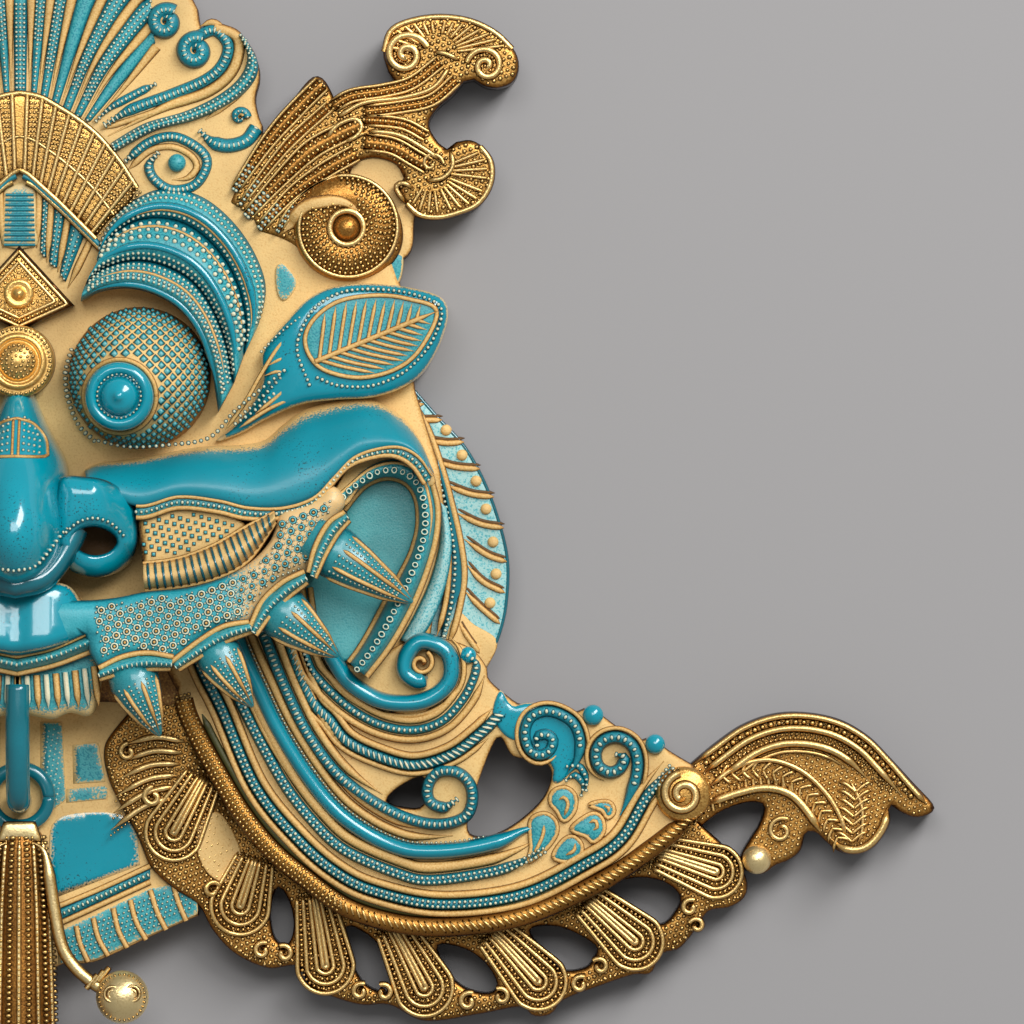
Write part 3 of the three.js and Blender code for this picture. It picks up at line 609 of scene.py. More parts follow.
s_rope = flow([(35.4, 97.6), (39, 98.8), (41.6, 95.8), (40.4, 91.8), (37, 88.8), (30, 85.8), (22, 82.8),
    (17, 79.8)], 0.8)
s_rib = flow([(38.8, 99.4), (43.2, 97.6), (43.6, 93.8), (41.6, 89.6), (37, 86.2), (29, 83.4), (17.6, 77.6)],
    0.8)
s_band_a = flow([(43.6, 98.2), (45.4, 93.8), (44, 89.6), (39.6, 85.8), (33, 82.6), (25, 80.2), (18.4, 76.4)],
    count=60)
s_band_b = flow([(45.6, 96.4), (47.6, 92), (46.4, 88), (42, 84), (35, 80.8), (27, 78.6), (19.2, 74.4)],
    count=60)
small_rope = flow([(27, 88), (23, 86), (18, 83.2), (15.2, 80.6)], 0.8)
swirl = flow([
    (21.2, 72.6), (26, 76.4), (31, 77.4), (36, 74.8), (37.4, 71.8), (35, 67.8), (30.4, 66.8), (27, 68.8),
    (25.8, 71.6), (27.6, 74.2),
], 0.8)
tail_crescent = flow([(36, 78.6), (38.4, 76.4), (41.6, 75.6), (45.2, 76.6), (47.2, 79.2)], 0.8)
spokes += [
    rib(s_rib, ground, 2.4, 1.4, (0, 16)),
    rib(flow([(36, 99.6), (38.4, 100.4), (41.2, 99.2)], 0.8), ground, 1.6, 0.9, (2, 2)),
    rib(flow([(21.6, 70.8), (26, 74.6), (30.4, 75.4), (34, 73.8), (35.4, 71.4), (33.6, 69.2), (30.4, 68.8)],
    0.8), ground, 1.5, 0.8, (2, 4)),
    rib(flow([(37, 80.8), (42.4, 84.8), (46, 88)], 0.8), ground, 1.4, 0.7, (3, 3)),
    rib(flow([(16, 78.8), (26, 82.2), (37, 86.4), (42.4, 90.4)], 0.8), ground, 1.3, 0.9, (3, 3)),
]
round_ribs = [
    rib(swirl, ground, 2.1, 1.2, (2, 3)), rib(s_rope, ground, 2.5, 1.2, (0, 6)),
    rib(small_rope, ground, 1.8, 1, (2, 6)),
    rib(tail_crescent, ground, 3, 1.5, (4, 0)),
]
flute_rows += [
    row(swirl, lambda p: ground(p) + 0.95, 0.9, 0.7, 1.5, 0.45),
    row(s_rope, lambda p: ground(p) + 1, 0.95, 0.6, 1.7, 0.45),
    row(small_rope, lambda p: ground(p) + 0.8, 0.95, 0.7, 1.1, 0.4),
    row(tail_crescent, lambda p: ground(p) + 1.2, 0.95, 0.6, 1.6, 0.4),
]
outer_band = band(s_band_a, s_band_b, [0.4, 2.2, 2.5, 0.4], -1)
outer_band["verts"][:, 2] += np.repeat(ground(across(s_band_a, s_band_b, 0.5)), 13)
flutes.append(outer_band)
for s in (0.25, 0.52, 0.78):
    line = np.c_[across(s_band_a, s_band_b, s), ground(across(s_band_a, s_band_b, 0.5)) + 2.3]
    flute_rows.append(row(line, None, 1, 0.7, 0.8, 0.4))
snails = []
for centre, r, turns, start in (((29, 100.4), 4.3, 1.7, 50), ((35, 94.6), 4.4, 1.7, 60),
    ((44, 81.4), 2.4, 1.4, 0)):
    level = float(ground(np.array([centre]))[0])
    r_tube = r * 0.36
    winding = scroll(centre, r - r_tube, start, turns)
    snails.append(rib(winding, level + 0.6, 2 * r_tube, r_tube * 1.25, (0, 4)))
    flute_rows.append(row(winding[:44], level + 0.6 + r_tube * 1.1, 0.85, 0.5, r * 0.3, 0.3))
    spokes.append(rib(scroll(centre, r - 2 * r_tube, start + 20, turns * 0.7), level + 0.6, 0.8, 1.2, (0, 2)))
ball = lathe((31.4, 72.2), [(1.8, 13), (1.6, 14.1), (0.9, 14.7), (0.1, 14.9)], 11, 20)
piece("crown_flutes", [flutes[0], *both([*flutes[1:], ball])], turquoise_flute)
piece("crown_plain_flutes", both(plain_flutes), turquoise_flute)
ribs("crown_sand_ribs", paired(spokes), sand)
ribs("crown_ropes", paired(round_ribs + snails), turquoise_flute, 8)
beads("crown_beads", paired_beads(flute_rows), turquoise_bead)

# Gold arch over the brow, its gable and the fluted panel below it, with the gold diamond at their foot.
# Cast with the crown, plated antique gold, bright on the crests partly from rubbing and partly as painted
# highlight; the panel's flutes are painted.
ARCH_TOP = 13.4
gold = finish(
    "antique gold", [(0, "#1d0c02"), (0.3, "#5a3310"), (0.5, "#a97431"), (0.68, "#e0b364"),
    (1, "#fbe1a4")],
    metal=0.8, rough=0.34, grain=0.4, mottle=0.24)


def grain_bead(put):
    return put("GeometryNodeMeshCone", {"Vertices": 5, "Radius Top": 0.5, "Radius Bottom": 1,
        "Depth": 1.0}).outputs[0]


GRAIN_TREE = bead_tree("Granulation", grain_bead)


def field(loop, pitch, margin, level, turn=0.35, holes=()):
    """Spots of an even lattice inside an outline and clear of its holes."""
    c, s = math.cos(turn), math.sin(turn)
    n = np.arange(-110, 111) * pitch
    u, v = np.meshgrid(n, n * 0.866)
    u = u + (np.arange(221) % 2)[:, None] * pitch / 2
    spots = np.c_[(c * u - s * v).ravel(), (s * u + c * v).ravel()] + (loop.min(0) + loop.max(0)) / 2
    spots = spots[inside(spots, loop)]
    for hole in holes:
        spots = spots[~inside(spots, hole)]
    spots = spots[reach(spots, [loop, *holes]) > margin]
    return np.c_[spots, level(spots) if callable(level) else np.full(len(spots), float(level))]


def set_on(spots, across_it, high, turn=0):
    return np.c_[spots, np.tile([turn, across_it / 2, across_it / 2, high], (len(spots), 1))]


def dim(form, share):
    """The same form left darker, as a hollow between bright lines."""
    return {**form, "crest": form["crest"] * share}


arch_outer = flow([(0, 86.2), (4, 85.4), (8, 83.2), (12, 80.6), (16, 77.2), (20, 72.4), (23.4, 67.2)], count=46)
arch_inner = flow([(0, 70.4), (1.4, 70), (4.8, 67.2), (8, 64.2), (11.6, 61.2), (15, 57.4)], count=46,
    smooth=False)
arch_half = np.vstack([arch_outer, flow([(23.4, 67.2), (21.6, 63.6), (18.4, 61.2), (15.4, 57.6)], 1.2)[1:],
    arch_inner[::-1][1:]])
arch_plate = plate(whole(arch_half[:-1]), ARCH_TOP, edge=0.8)
arch_ribs, arch_rows = [], []
for n in range(10):
    t = (n + 0.5) / 10
    at = t * 45
    low, high = int(at), min(int(at) + 1, 45)
    foot = across(arch_inner[low], arch_inner[high], at - low)
    head = across(arch_outer[low], arch_outer[high], at - low)
    arch_ribs.append(rib(flow([foot, head], 1.5), ARCH_TOP, 1.1, 0.9))
    step = (head - foot) / np.linalg.norm(head - foot)
    side = np.array([step[1], -step[0]])
    for s in (0.75, 1.5, 2.25):
        arch_rows.append(row([across(foot, head, 0.47) + side * s * 0.8, head - step * 0.8 + side * s * 1.12],
            ARCH_TOP, 0.95, 0.8, 0.8, 0.4))
    for s in (0.7, 1.4):
        arch_rows.append(row([foot + step + side * s, across(foot, head, 0.4) + side * s * 1.1], ARCH_TOP, 0.9,
            0.55, 0.55, 0.3))
arch_ribs += [rib(arch_outer, ARCH_TOP - 0.4, 1.2, 1.1), rib(across(arch_inner, arch_outer, 0.45), ARCH_TOP,
    0.7, 0.6)]
gable_lines = [flow([(0, 70.8), (1.4, 70.2), (8, 64.2), (15.2, 57)], 1, smooth=False) + [0.7 * k,
    -1.25 * k] for k in (0, 1, 2)]
gable_ribs = [rib(line, ARCH_TOP + 0.2, 1.3, 1.5 - 0.2 * k) for k, line in enumerate(gable_lines)]
panel = plate(whole(flow([(0, 68.4), (3.2, 66.8), (3.6, 55.6), (0, 54.8)], 1, smooth=False)), 13.4, edge=0.4)
panel_steps = [rib(flow([(-2.8 - 0.03 * k, 65.8 - k), (2.8 + 0.03 * k, 65.8 - k)], 1), 13.4, 0.6,
    0.45) for k in range(11)]
fan_flutes = [
    ([(4.6, 66.8), (4, 54.8)], [(6, 65.6), (5.2, 53.2)]), ([(7, 64.8), (5.8, 52.4)],
    [(9.2, 62.6), (7.4, 51.2)]), ([(10.4, 61.2), (8, 50.4)], [(13.2, 58.4), (9.2, 48.4)]),
]
lower_flutes = [band(flow(a, count=24), flow(b, count=24), [12.8, 13.3, 12.8], 11, 4) for a, b in fan_flutes]
lower_rows = [
    row(lane(flow(a, count=24), flow(b, count=24), [13.3, 13.3], s), None, 0.95, 0.7, 0.6, 0.35)
    for a, b in fan_flutes for s in (0.3, 0.7)]
lower_ribs = [
    rib(flow(line, 1.2), 12.7, 1.6, 1, (0, 4))
    for line in ([(4, 67.6), (3.4, 55.2)], [(6.4, 65.4), (5.4, 52.4)], [(9.8, 62.2), (7.6, 50.4)],
    [(14.4, 57.2), (9.6, 47.2)])]
DIAMOND_TOP = 17.4
diamond_half = flow([(0, 55.6), (11, 43.6), (0, 38.6)], 1, smooth=False)
diamond = plate(whole(diamond_half[:-1]), DIAMOND_TOP, edge=1.6)
diamond_lines = [across(diamond_half, np.array([[0, 46]]), s) for s in (0.12, 0.34)]
diamond_boss = lathe((0, 46), [(3.1, 17.2), (2.9, 18.6), (2.2, 18.9), (1.7, 18.3), (1.3, 18.6), (0.9, 19.8),
    (0.1, 20.2)], 16, 30)
diamond_rows = [row(across(diamond_half, np.array([[0, 46]]), s), DIAMOND_TOP, 1, 0.75, 0.75,
    0.4) for s in (0.23, 0.46, 0.57)]
piece("gold_arch", [dim(arch_plate, 0.62), dim(diamond, 0.62), dim(diamond_boss, 0.7)], gold)
gold_lines = arch_ribs + [rib(line, DIAMOND_TOP, 0.8, 0.7) for line in diamond_lines]
ribs("gold_arch_ribs", paired(gold_lines), gold)
beads("gold_arch_beads", paired_beads(arch_rows + diamond_rows), gold)
ribs("gable_ribs", paired(gable_ribs[:1] + gable_ribs[2:]), gold)
ribs("brow_panel_ribs", paired(lower_ribs), sand)
piece("brow_panel", [panel, *both(lower_flutes)], turquoise_flute)
ribs("brow_panel_steps", panel_steps + paired(gable_ribs[1:2]), turquoise_flute)
beads("brow_panel_beads", paired_beads(lower_rows), turquoise_bead)

# Horns: gold plumes of beaded blades that end in two shell heads, with a big snail scroll at the root.
# Cast as one thick plate with the crown and plated antique gold; the blades' roots keep some turquoise paint.
HORN_TOP = 13.0
horn_outline = np.vstack([
    flow([(41.6, 63.8), (44, 69.2), (48, 76.8), (53, 82.8), (57, 88), (59.2, 89.6), (61.2, 88.4), (63.4, 84)],
    1),
    flow([(65, 85.2), (70, 86.8), (75.6, 87.6)], 1),
    flow([(73.6, 90.4), (72.6, 94.4), (74, 98.6), (78, 100.8), (84, 101.6), (90, 100.8), (95, 98.4),
    (98.6, 95.2), (99.8, 91.8), (98.8, 88.6), (96, 87.2), (93.2, 87.4), (90.8, 88.8)], 1),
    flow([(88.8, 88.4), (86.4, 85.6), (83.6, 83.2), (81.8, 80), (83.4, 76.6), (85.4, 75)], 1),
    flow([(87.2, 76.4), (90, 76.8), (92.4, 75.6), (94.2, 73.2), (94.6, 70), (93.8, 66.4), (91.6, 63.6),
    (88.4, 62), (84, 61), (80, 61.4), (77.2, 63.8), (75.2, 67.4)], 1),
    flow([(76.8, 69.2), (75, 72), (70.8, 73.2), (67.2, 72.2), (66, 70)], 1),
    flow([(68.4, 69.4), (72.8, 66.8), (75.8, 62), (76.6, 56.8), (74.6, 52.2), (69.6, 49), (64, 48.6),
    (58.4, 50.8), (55.6, 54.8), (52.4, 56.8), (47.6, 58.4)], 1),
])
horn_body = plate(horn_outline, HORN_TOP, edge=1)
blade_lines = [
    ([(43, 66.8), (49.6, 76.4), (55.4, 83), (60.4, 88)], 3.2), ([(44.2, 64), (53.4, 75.6), (62, 83.6)], 2),
    ([(45.4, 61.6), (51.6, 68.4), (58, 74.6), (64, 78), (68.4, 80)], 3.8),
    ([(48, 59.2), (54.6, 66.2), (61.2, 70.8), (67.2, 74.2)], 3.2),
    ([(51.6, 58.6), (54.6, 63), (59.2, 66.8), (64, 68.6)], 2.2),
    ([(62.4, 83.4), (66.4, 85.6), (72.6, 86.6), (78.4, 88.2), (84, 92.4)], 2.4),
    ([(68.8, 82.4), (76.4, 83.4), (82.4, 84.8), (87.2, 88.8)], 2.2),
    ([(68.8, 80.8), (76.4, 80), (81.2, 77.6)], 2),
    ([(68.8, 76.4), (74.4, 75.6), (78.8, 73.2), (81.6, 71.6)], 3.2),
]
horn_ribs, horn_rows, horn_tips, blades = [], [], [], []
for n, (points, wide) in enumerate(blade_lines):
    line = flow(points, 0.8)
    ahead = np.gradient(line, axis=0)
    side = np.stack([-ahead[:, 1], ahead[:, 0]], 1) / np.linalg.norm(ahead, axis=1)[:, None]
    swell = wide / 2 * np.interp(np.arange(len(line)), [0, 22], [0.5 if n < 5 else 1, 1])[:, None]
    blades.append(dim(band(line - side * swell, line + side * swell,
        [HORN_TOP, HORN_TOP + 0.9, HORN_TOP + 0.9, HORN_TOP], 10, 6), 0.5))
    horn_ribs += [rib(line + side * swell * k, HORN_TOP + 0.2, 0.8, 1.2, (2, 0)) for k in (-1, 1)]
    for k in (-0.4, 0.4) if wide > 2.1 else (0,):
        top = row(line + side * swell * k, HORN_TOP + 0.8, 1.12, 0.85, wide * 0.3 if k else 1.1, 0.7)
        horn_rows.append(top[6:] if n < 5 else top)
        if n < 5:
            horn_tips.append(top[:6])
for points in (
        [(63.4, 81.2), (68.8, 84.2), (76.4, 85.2), (82.6, 87.2), (86, 91.4)],
        [(69.6, 78.6), (75.6, 77.8), (80.2, 75.4), (84, 72.8)],
        [(86, 74.8), (86.6, 71.6), (84.6, 69.2), (81.2, 68.6)],
        [(78.8, 67), (76.6, 68.2), (75.2, 67.2), (77, 64.2)], [(82.6, 94.4), (85.2, 94), (88, 92.6)],
        [(61.2, 76.8), (63.4, 79.6), (66.8, 81), (68.4, 79.6), (67.4, 77.6), (64.6, 76.2)]):
    horn_ribs.append(rib(flow(points, 0.8), HORN_TOP + 0.2, 1.2, 1.6, (1, 1)))
head_edge = flow([(72.8, 94.4), (74.2, 98.6), (78.2, 100.6), (84, 101.4), (90, 100.6), (95, 98.2), (98.4, 95)],
    1)
lobe_edge = flow([(92, 75.4), (94, 72.8), (94.4, 69.6), (93.4, 66.4), (91.2, 63.8), (88, 62.4), (84, 61.4),
    (80, 61.8), (77.4, 64)], 1)
for foot, edge_line, count, inner in (((83.4, 94), head_edge, 15, 4.2), ((82.4, 70.4), lobe_edge, 13, 3.9)):
    for k in range(count):
        head = edge_line[int((k + 0.5) / count * len(edge_line))]
        step = (head - np.array(foot)) / np.linalg.norm(head - np.array(foot))
        start = np.array(foot) + step * inner
        if np.linalg.norm(head - start) > 1.5:
            horn_ribs.append(rib(flow([start, head - step * 1], 1), HORN_TOP, 0.9, 1.1))
            horn_rows.append(row(flow([start + step, head - step * 0.8], 0.9) + [step[1] * 0.65,
                -step[0] * 0.65], HORN_TOP, 0.95, 0.5, 0.5, 0.3))
    horn_ribs.append(rib(edge_line, HORN_TOP - 0.4, 1.3, 1.2))
for centre, r, start, turns, hand in (((77.2, 93.8), 5.4, 20, 1.7, 1), ((93.2, 91.6), 4.6, 170, 1.6, -1),
    ((82.2, 72), 3, 0, 1, 1)):
    horn_ribs.append(rib(scroll(centre, r * 0.85, start, turns, hand), HORN_TOP, r * 0.34, 1.7))
    horn_rows.append(row(scroll(centre, r * 0.62, start, turns * 0.7, hand), HORN_TOP, 0.95, 0.6, 0.6, 0.35))
snail = np.array((65.4, 59.2))
circle = np.c_[np.cos(np.linspace(0, 2 * math.pi, 60)), np.sin(np.linspace(0, 2 * math.pi, 60))]


def snail_level(p):
    away = np.linalg.norm(p - snail, axis=1)
    return np.interp(away, [3.4, 5, 8.6, 10.4, 10.9], [15, 16.2, 15.2, 14.4, 13]) + 0.1


for k in range(7):
    horn_rows.append(row(scroll(snail, 9.9 - 0.95 * k, 96 - 7 * k, 0.8 + 0.03 * k, -1, 0.88), snail_level, 1.12,
        0.95, 0.95, 0.7))
horn_ribs += [rib(scroll(snail, 10.5, 100, 0.85, -1, 0.9), snail_level, 0.9, 0.8),
    rib(snail + circle * 3.4, 15.4, 1.5, 1.3)]
snail_groove = rib(flow([(52.8, 58.4), (56.6, 63), (60.4, 64.2), (64.2, 64.4), (67.2, 62.8), (68.4, 60)], 0.8),
    lambda p: snail_level(p) + 0.2, 2.9, 0.7, (2, 9))
snail_body = lathe(snail, [(10.7, 13), (10.3, 14.4), (8.6, 15.2), (5, 16.2), (3.4, 15), (2.6, 15.2),
    (1.9, 16.3), (1, 16.9), (0.1, 17)], 9, 48)
piece("horn_plate", both([dim(horn_body, 0.58), dim(snail_body, 0.5), *blades]), gold)
ribs("horn_grooves", paired([snail_groove]), sand)
beads("horn_grains", paired_beads([set_on(field(horn_outline, 1.3, 0.7, HORN_TOP), 1.1, 0.6)]), gold,
    GRAIN_TREE)
ribs("horn_ribs", paired(horn_ribs), gold)
beads("horn_beads", paired_beads(horn_rows), gold)
beads("horn_blade_roots", paired_beads(horn_tips), turquoise_bead)
patch = plate(flow([(51.2, 51.2), (52.8, 52), (55.4, 48.2), (53, 44.6), (51.4, 46.4)], 0.8, closed=True), 13.1,
    edge=0.3, low=11, fade=0.6)
wing = plate(flow([(72, 52.4), (76.4, 54), (75.6, 48), (71.2, 46.8)], 0.8, closed=True), 12, edge=0.5, fade=0.6)
piece("temple_patches", both([patch, wing]), turquoise_flute)

# Brows: three nested crescents over each eye, every one higher than the last.
# Modelled in the casting, painted turquoise, with smooth cords and rows of beads rubbed pale.
brow_edges = [flow(points, count=80) for points in (
    [(15.4, 53.2), (16.8, 57.8), (20, 62.6), (25, 66), (29, 67), (34, 66.4), (39, 63.8), (44, 58.8),
    (47.6, 52.8), (49.2, 46.8), (47.8, 40)],
    [(15.6, 52.4), (17.8, 56.8), (23, 60.4), (29.4, 61), (35.4, 58.6), (40.6, 53.4), (44, 46.6), (45.2, 39.6),
    (44.8, 33.6)],
    [(13.2, 47.6), (16.2, 50.6), (22, 52.4), (28, 51.8), (34, 48.8), (38.2, 43.6), (41.2, 36.4), (42.8, 28)],
    [(12.4, 44.4), (16.6, 46.4), (22, 47), (27.4, 45.6), (32.4, 42.4), (36.2, 37.2), (38.6, 30), (39.8, 22.4)],
)]
brow_heights = [[13, 15.4, 16.6, 16.4, 15], [15.2, 18.4, 20.2, 20.4, 18], [18.2, 21.2, 22.6, 22.4, 19.4]]
crescents, brow_rows, brow_dots, brow_cords, brow_lines = [], [], [], [], []
brow_plan = [
    ((0.13, 0.3, 0.84), (), 0.58, 0.7), ((0.82, 0.93), (0.12, 0.27, 0.43), 0.64, 0.2),
    ((0.12, 0.26, 0.5, 0.62), (), 0.84, 0.38)]
for edge_a, edge_b, heights, (rows, dots, cord, seam) in zip(brow_edges, brow_edges[1:], brow_heights,
    brow_plan):
    crescents.append(band(edge_a, edge_b, heights, 11, 14))
    brow_rows += [row(lane(edge_a, edge_b, heights, s)[3:-3], None, 1.05, 0.95, 0.95, 0.55) for s in rows]
    brow_dots += [row(lane(edge_a, edge_b, heights, s)[6:-6], None, 1.75, 1.4, 1.4, 0.6) for s in dots]
    brow_cords.append(rib(lane(edge_a, edge_b, heights, cord)[2:-2], None, 1.7, 1, (9, 9)))
    brow_lines.append(rib(lane(edge_a, edge_b, heights, seam)[3:-3], None, 0.7, 0.55, (9, 9)))
piece("brow_crescents", both(crescents), turquoise_flute)
ribs("brow_cords", paired(brow_cords), glossy_turquoise)
ribs("brow_seams", paired(brow_lines), sand)
beads("brow_beads", paired_beads(brow_rows + brow_dots), turquoise_bead)

# Eyes: bulging domes with a lattice of little studs, a glossy ring and a pupil.
# Cast with the face; the dome is sand with turquoise studs, ring and pupil are enamelled and shine.
EYE = np.array((24, 29.2))
EYE_R, EYE_HIGH = 14.2, 16.5
PUPIL = np.array((20.4, 25.4))


def eye_level(p):
    away = np.minimum(np.linalg.norm(p - EYE, axis=1) / EYE_R, 1)
    return FACE_TOP + EYE_HIGH * np.sqrt(1 - away ** 2)


def pyramid(put):
    return put("GeometryNodeMeshCone", {
        "Vertices": 4, "Radius Top": 0.45, "Radius Bottom": 1, "Depth": 1.0}).outputs[0]


STUD_TREE = bead_tree("Lattice studs", pyramid)
arc = np.radians(np.linspace(0, 88, 16))
eye_dome = lathe(EYE, [(EYE_R * math.cos(a), FACE_TOP + EYE_HIGH * math.sin(a)) for a in arc], 11, 64)
# Painted shade: the dome's crest is lowered towards its foot, so its sides darken.
eye_dome["crest"] *= np.repeat(np.r_[0, np.clip(np.sin(arc) * 1.5, 0.25, 1)], 64)
studs = []
for i in range(-16, 17):
    for j in range(-16, 17):
        u = np.array([(i - j) * 1.2, (i + j) * 1.2])
        far = np.linalg.norm(u)
        if far < 0.1 or far / EYE_R > 1.32:
            continue
        spot = EYE + u / far * EYE_R * math.sin(far / EYE_R)
        if np.linalg.norm(spot - PUPIL) > 7.9:
            lean = math.cos(far / EYE_R)
            studs.append([*spot, float(eye_level(spot[None])[0]) - 0.1, 0, 1.08 * (0.5 + 0.5 * lean),
                1.08 * (0.5 + 0.5 * lean), 0.6])
ring_profile = [
    (6.9, 27.5), (6.8, 29.6), (6.4, 30.9), (5.7, 31.5), (5, 31.4), (4.5, 30.7), (4.1, 30.1), (3.75, 30.4),
    (3.6, 31.4), (3.1, 32.4),
    (2.2, 33), (1.2, 33.2), (0.9, 33.7), (0.5, 34), (0.05, 34.1)]
pupil = lathe(PUPIL, ring_profile, 20, 56)
eye_rows = [
    row(PUPIL + circle * 4.35, 30.8, 0.9, 0.7, 0.6, 0.5),
    row(flow([(16, 16.6), (22, 15.4), (30, 15.8), (38, 17.2), (43, 22.4), (48, 26.6), (53, 30.6)], 0.9), 20,
    1.3, 1, 1, 0.7),
    row(flow([(10.4, 34.8), (9.2, 30), (9.8, 24.8), (11.8, 19.8), (15, 16.6)], 0.9), 15, 1.2, 0.9, 1.3, 0.8),
]
piece("eye_domes", both([eye_dome]), sand)
piece("pupils", both([pupil]), glossy_turquoise)
ribs("pupil_rims", paired([rib(PUPIL + circle * 7.3, eye_level, 1.1, 0.9)]), sand)
beads("eye_studs", paired_beads([np.array(studs)]), stud_turquoise, STUD_TREE, 0.06)
beads("eye_rims", paired_beads(eye_rows), turquoise_bead)

# Nose: a round boss between the brows, the bridge and a big glossy bulb with flaring nostrils.
# Modelled in the casting and enamelled; the boss is gold and a beaded rim runs under the bulb.
nose_stations = np.array([
    (27, 2.6, 22), (19.8, 5.6, 31), (11.8, 9.6, 39), (4.8, 9.6, 44.8), (-1, 10.2, 47.2), (-5.5, 9.6, 46.4),
    (-9.8, 6.8, 42.6), (-12.4, 2.2, 36)])
nose_line = flow(nose_stations, count=48)
NOSE_BASE = 11.0
angle = np.linspace(0, math.pi, 29)
nose_rings = [
    np.c_[half * np.cos(angle), np.full(29, y), NOSE_BASE + (top - NOSE_BASE) * np.sin(angle) ** 0.7] for y,
    half, top in nose_line]
nose = skin(nose_rings, np.ones((48, 29)))


def nose_level(p):
    half = np.interp(-p[:, 1], -nose_line[:, 0], nose_line[:, 1])
    top = np.interp(-p[:, 1], -nose_line[:, 0], nose_line[:, 2])
    return NOSE_BASE + (top - NOSE_BASE) * np.clip(1 - (p[:, 0] / half) ** 2, 0.01, 1) ** 0.35


boss_profile = [
    (7.2, 21), (7.1, 23.2), (6.5, 23.8), (5.9, 23.2), (5.6, 23.6), (5, 24.3), (4.5, 23.8), (4.2, 23.2),
    (3.9, 23.6), (3, 24.8), (1.6, 25.4), (0.1, 25.6)]
boss = lathe((0, 32.4), boss_profile, 11, 48)
boss_rows = [row((0, 32.4) + circle * r, z, 0.95, 0.8, 0.8, 0.45) for r,
    z in ((6.5, 23.7), (3.2, 24.6), (2.2, 25.1), (1.1, 25.4))]
wing_outline = flow([
    (8.8, 8.8), (13.6, 9.4), (18, 8.6), (21.2, 6.4), (23.2, 3.4), (23.8, 0), (23.6, -4.4), (21.6, -8.4),
    (17.6, -10.4), (12.8, -10.2), (9.2, -7.6), (7.6, 0.8)], 0.8, closed=True)
nostril_hole = flow([(11.2, -3.2), (12.8, -1.2), (15.6, -0.6), (18.4, -1.6), (19.8, -3.4), (18.4, -5.4),
    (15.6, -6.2), (12.8, -5.4)], 0.7, closed=True)
nostril_wing = plate(wing_outline, lambda p: 33.5 - 7.5 * ease((p[:, 0] - 15) / 9) - 7 * ease((-3 - p[:,
    1]) / 7), [nostril_hole], 3, 1.1, 11, 0.4)
nostril_wing["fade"][:] = 1
# Painted light: the wing's crest is raised so more of it takes the bright end of the enamel's ramp.
nostril_wing["crest"] = np.clip(nostril_wing["crest"] * 1.4, 0, 1)
# Painted shadow: a dark brown sheet inside each nostril stands for the shade in the hole.
nostril_floor = plate(flow([(10, -1.6), (15.6, 0.8), (20.8, -1.6), (20.4, -6.4), (15.6, -7.6), (10.8, -6.4)],
    0.9, closed=True), 18, edge=0.5, low=11)
half_roll = flow([(0, -12.2), (4.4, -11.2), (7.6, -8.4), (10, -4.6), (11.8, -1)], 0.9)
roll = np.vstack([flipped(half_roll)[::-1], half_roll[1:]])
nose_lines = [
    rib(flow([(0, 21), (3.2, 20), (5.6, 17.2), (6.2, 14.4), (5.6, 13.4), (0, 13.4)], 0.7), nose_level, 0.75,
    0.5), rib(flow([(0.6, 20.8), (0.6, 13.6)], 0.7), nose_level, 0.6, 0.4),
]
nose_rows = [row(flow([(1.6, 21.2 - 1.3 * k), (3.2 + 0.5 * min(k, 3), 20.2 - 1.2 * k)], 0.8),
    lambda p: nose_level(p) + 0.1, 1, 0.75, 0.75, 0.35) for k in range(6)]
rim_rows = [
    row(flow([(0, -9.2), (4, -8.4), (6.8, -5.4), (9, -2.2), (11.6, 0.8)], 0.8),
    lambda p: np.maximum(nose_level(p), np.interp(p[:, 0], [0, 12], [38, 31])) + 0.2, 1.05, 0.9, 1.1, 0.6),
    row(flow([(10, -1.6), (12.4, 0.4), (15.6, 1.2), (18.8, 0.2), (21.2, -2.2)], 0.8),
    lambda p: 33.2 - 7.5 * ease((p[:, 0] - 15) / 9), 1, 0.8, 0.9, 0.6),
    row(flow([(10.6, 8.4), (9.6, 4.8), (10.8, 1.6)], 0.8), 29, 1, 0.8, 0.8, 0.5),
]
dark_turquoise = finish("deep turquoise", [(0, "#04262b"), (0.5, "#0a4f5a"), (1, "#0f6e7b")],
    rough=0.2, coat=0.7, mottle=0.25)
# Dark brown finish for painted shadows in the nostrils and beside the quills.
hollow_shadow = finish("brown painted shadow", [(0, "#1c0f04"), (1, "#6b4a20")], rough=0.7)
piece("nose", [nose, *both([nostril_wing])], glossy_turquoise)
piece("nostril_hollows", both([nostril_floor]), hollow_shadow)
ribs("nose_roll", [rib(roll, lambda p: np.interp(np.abs(p[:, 0]), [0, 12], [34, 27]), 5.2, 4)], dark_turquoise,
    14)
piece("brow_boss", [dim(boss, 0.7)], gold)
beads("brow_boss_beads", boss_rows, gold)
ribs("nose_ornament", paired(nose_lines), sand)
beads("nose_beads", paired_beads(nose_rows + rim_rows), turquoise_bead)

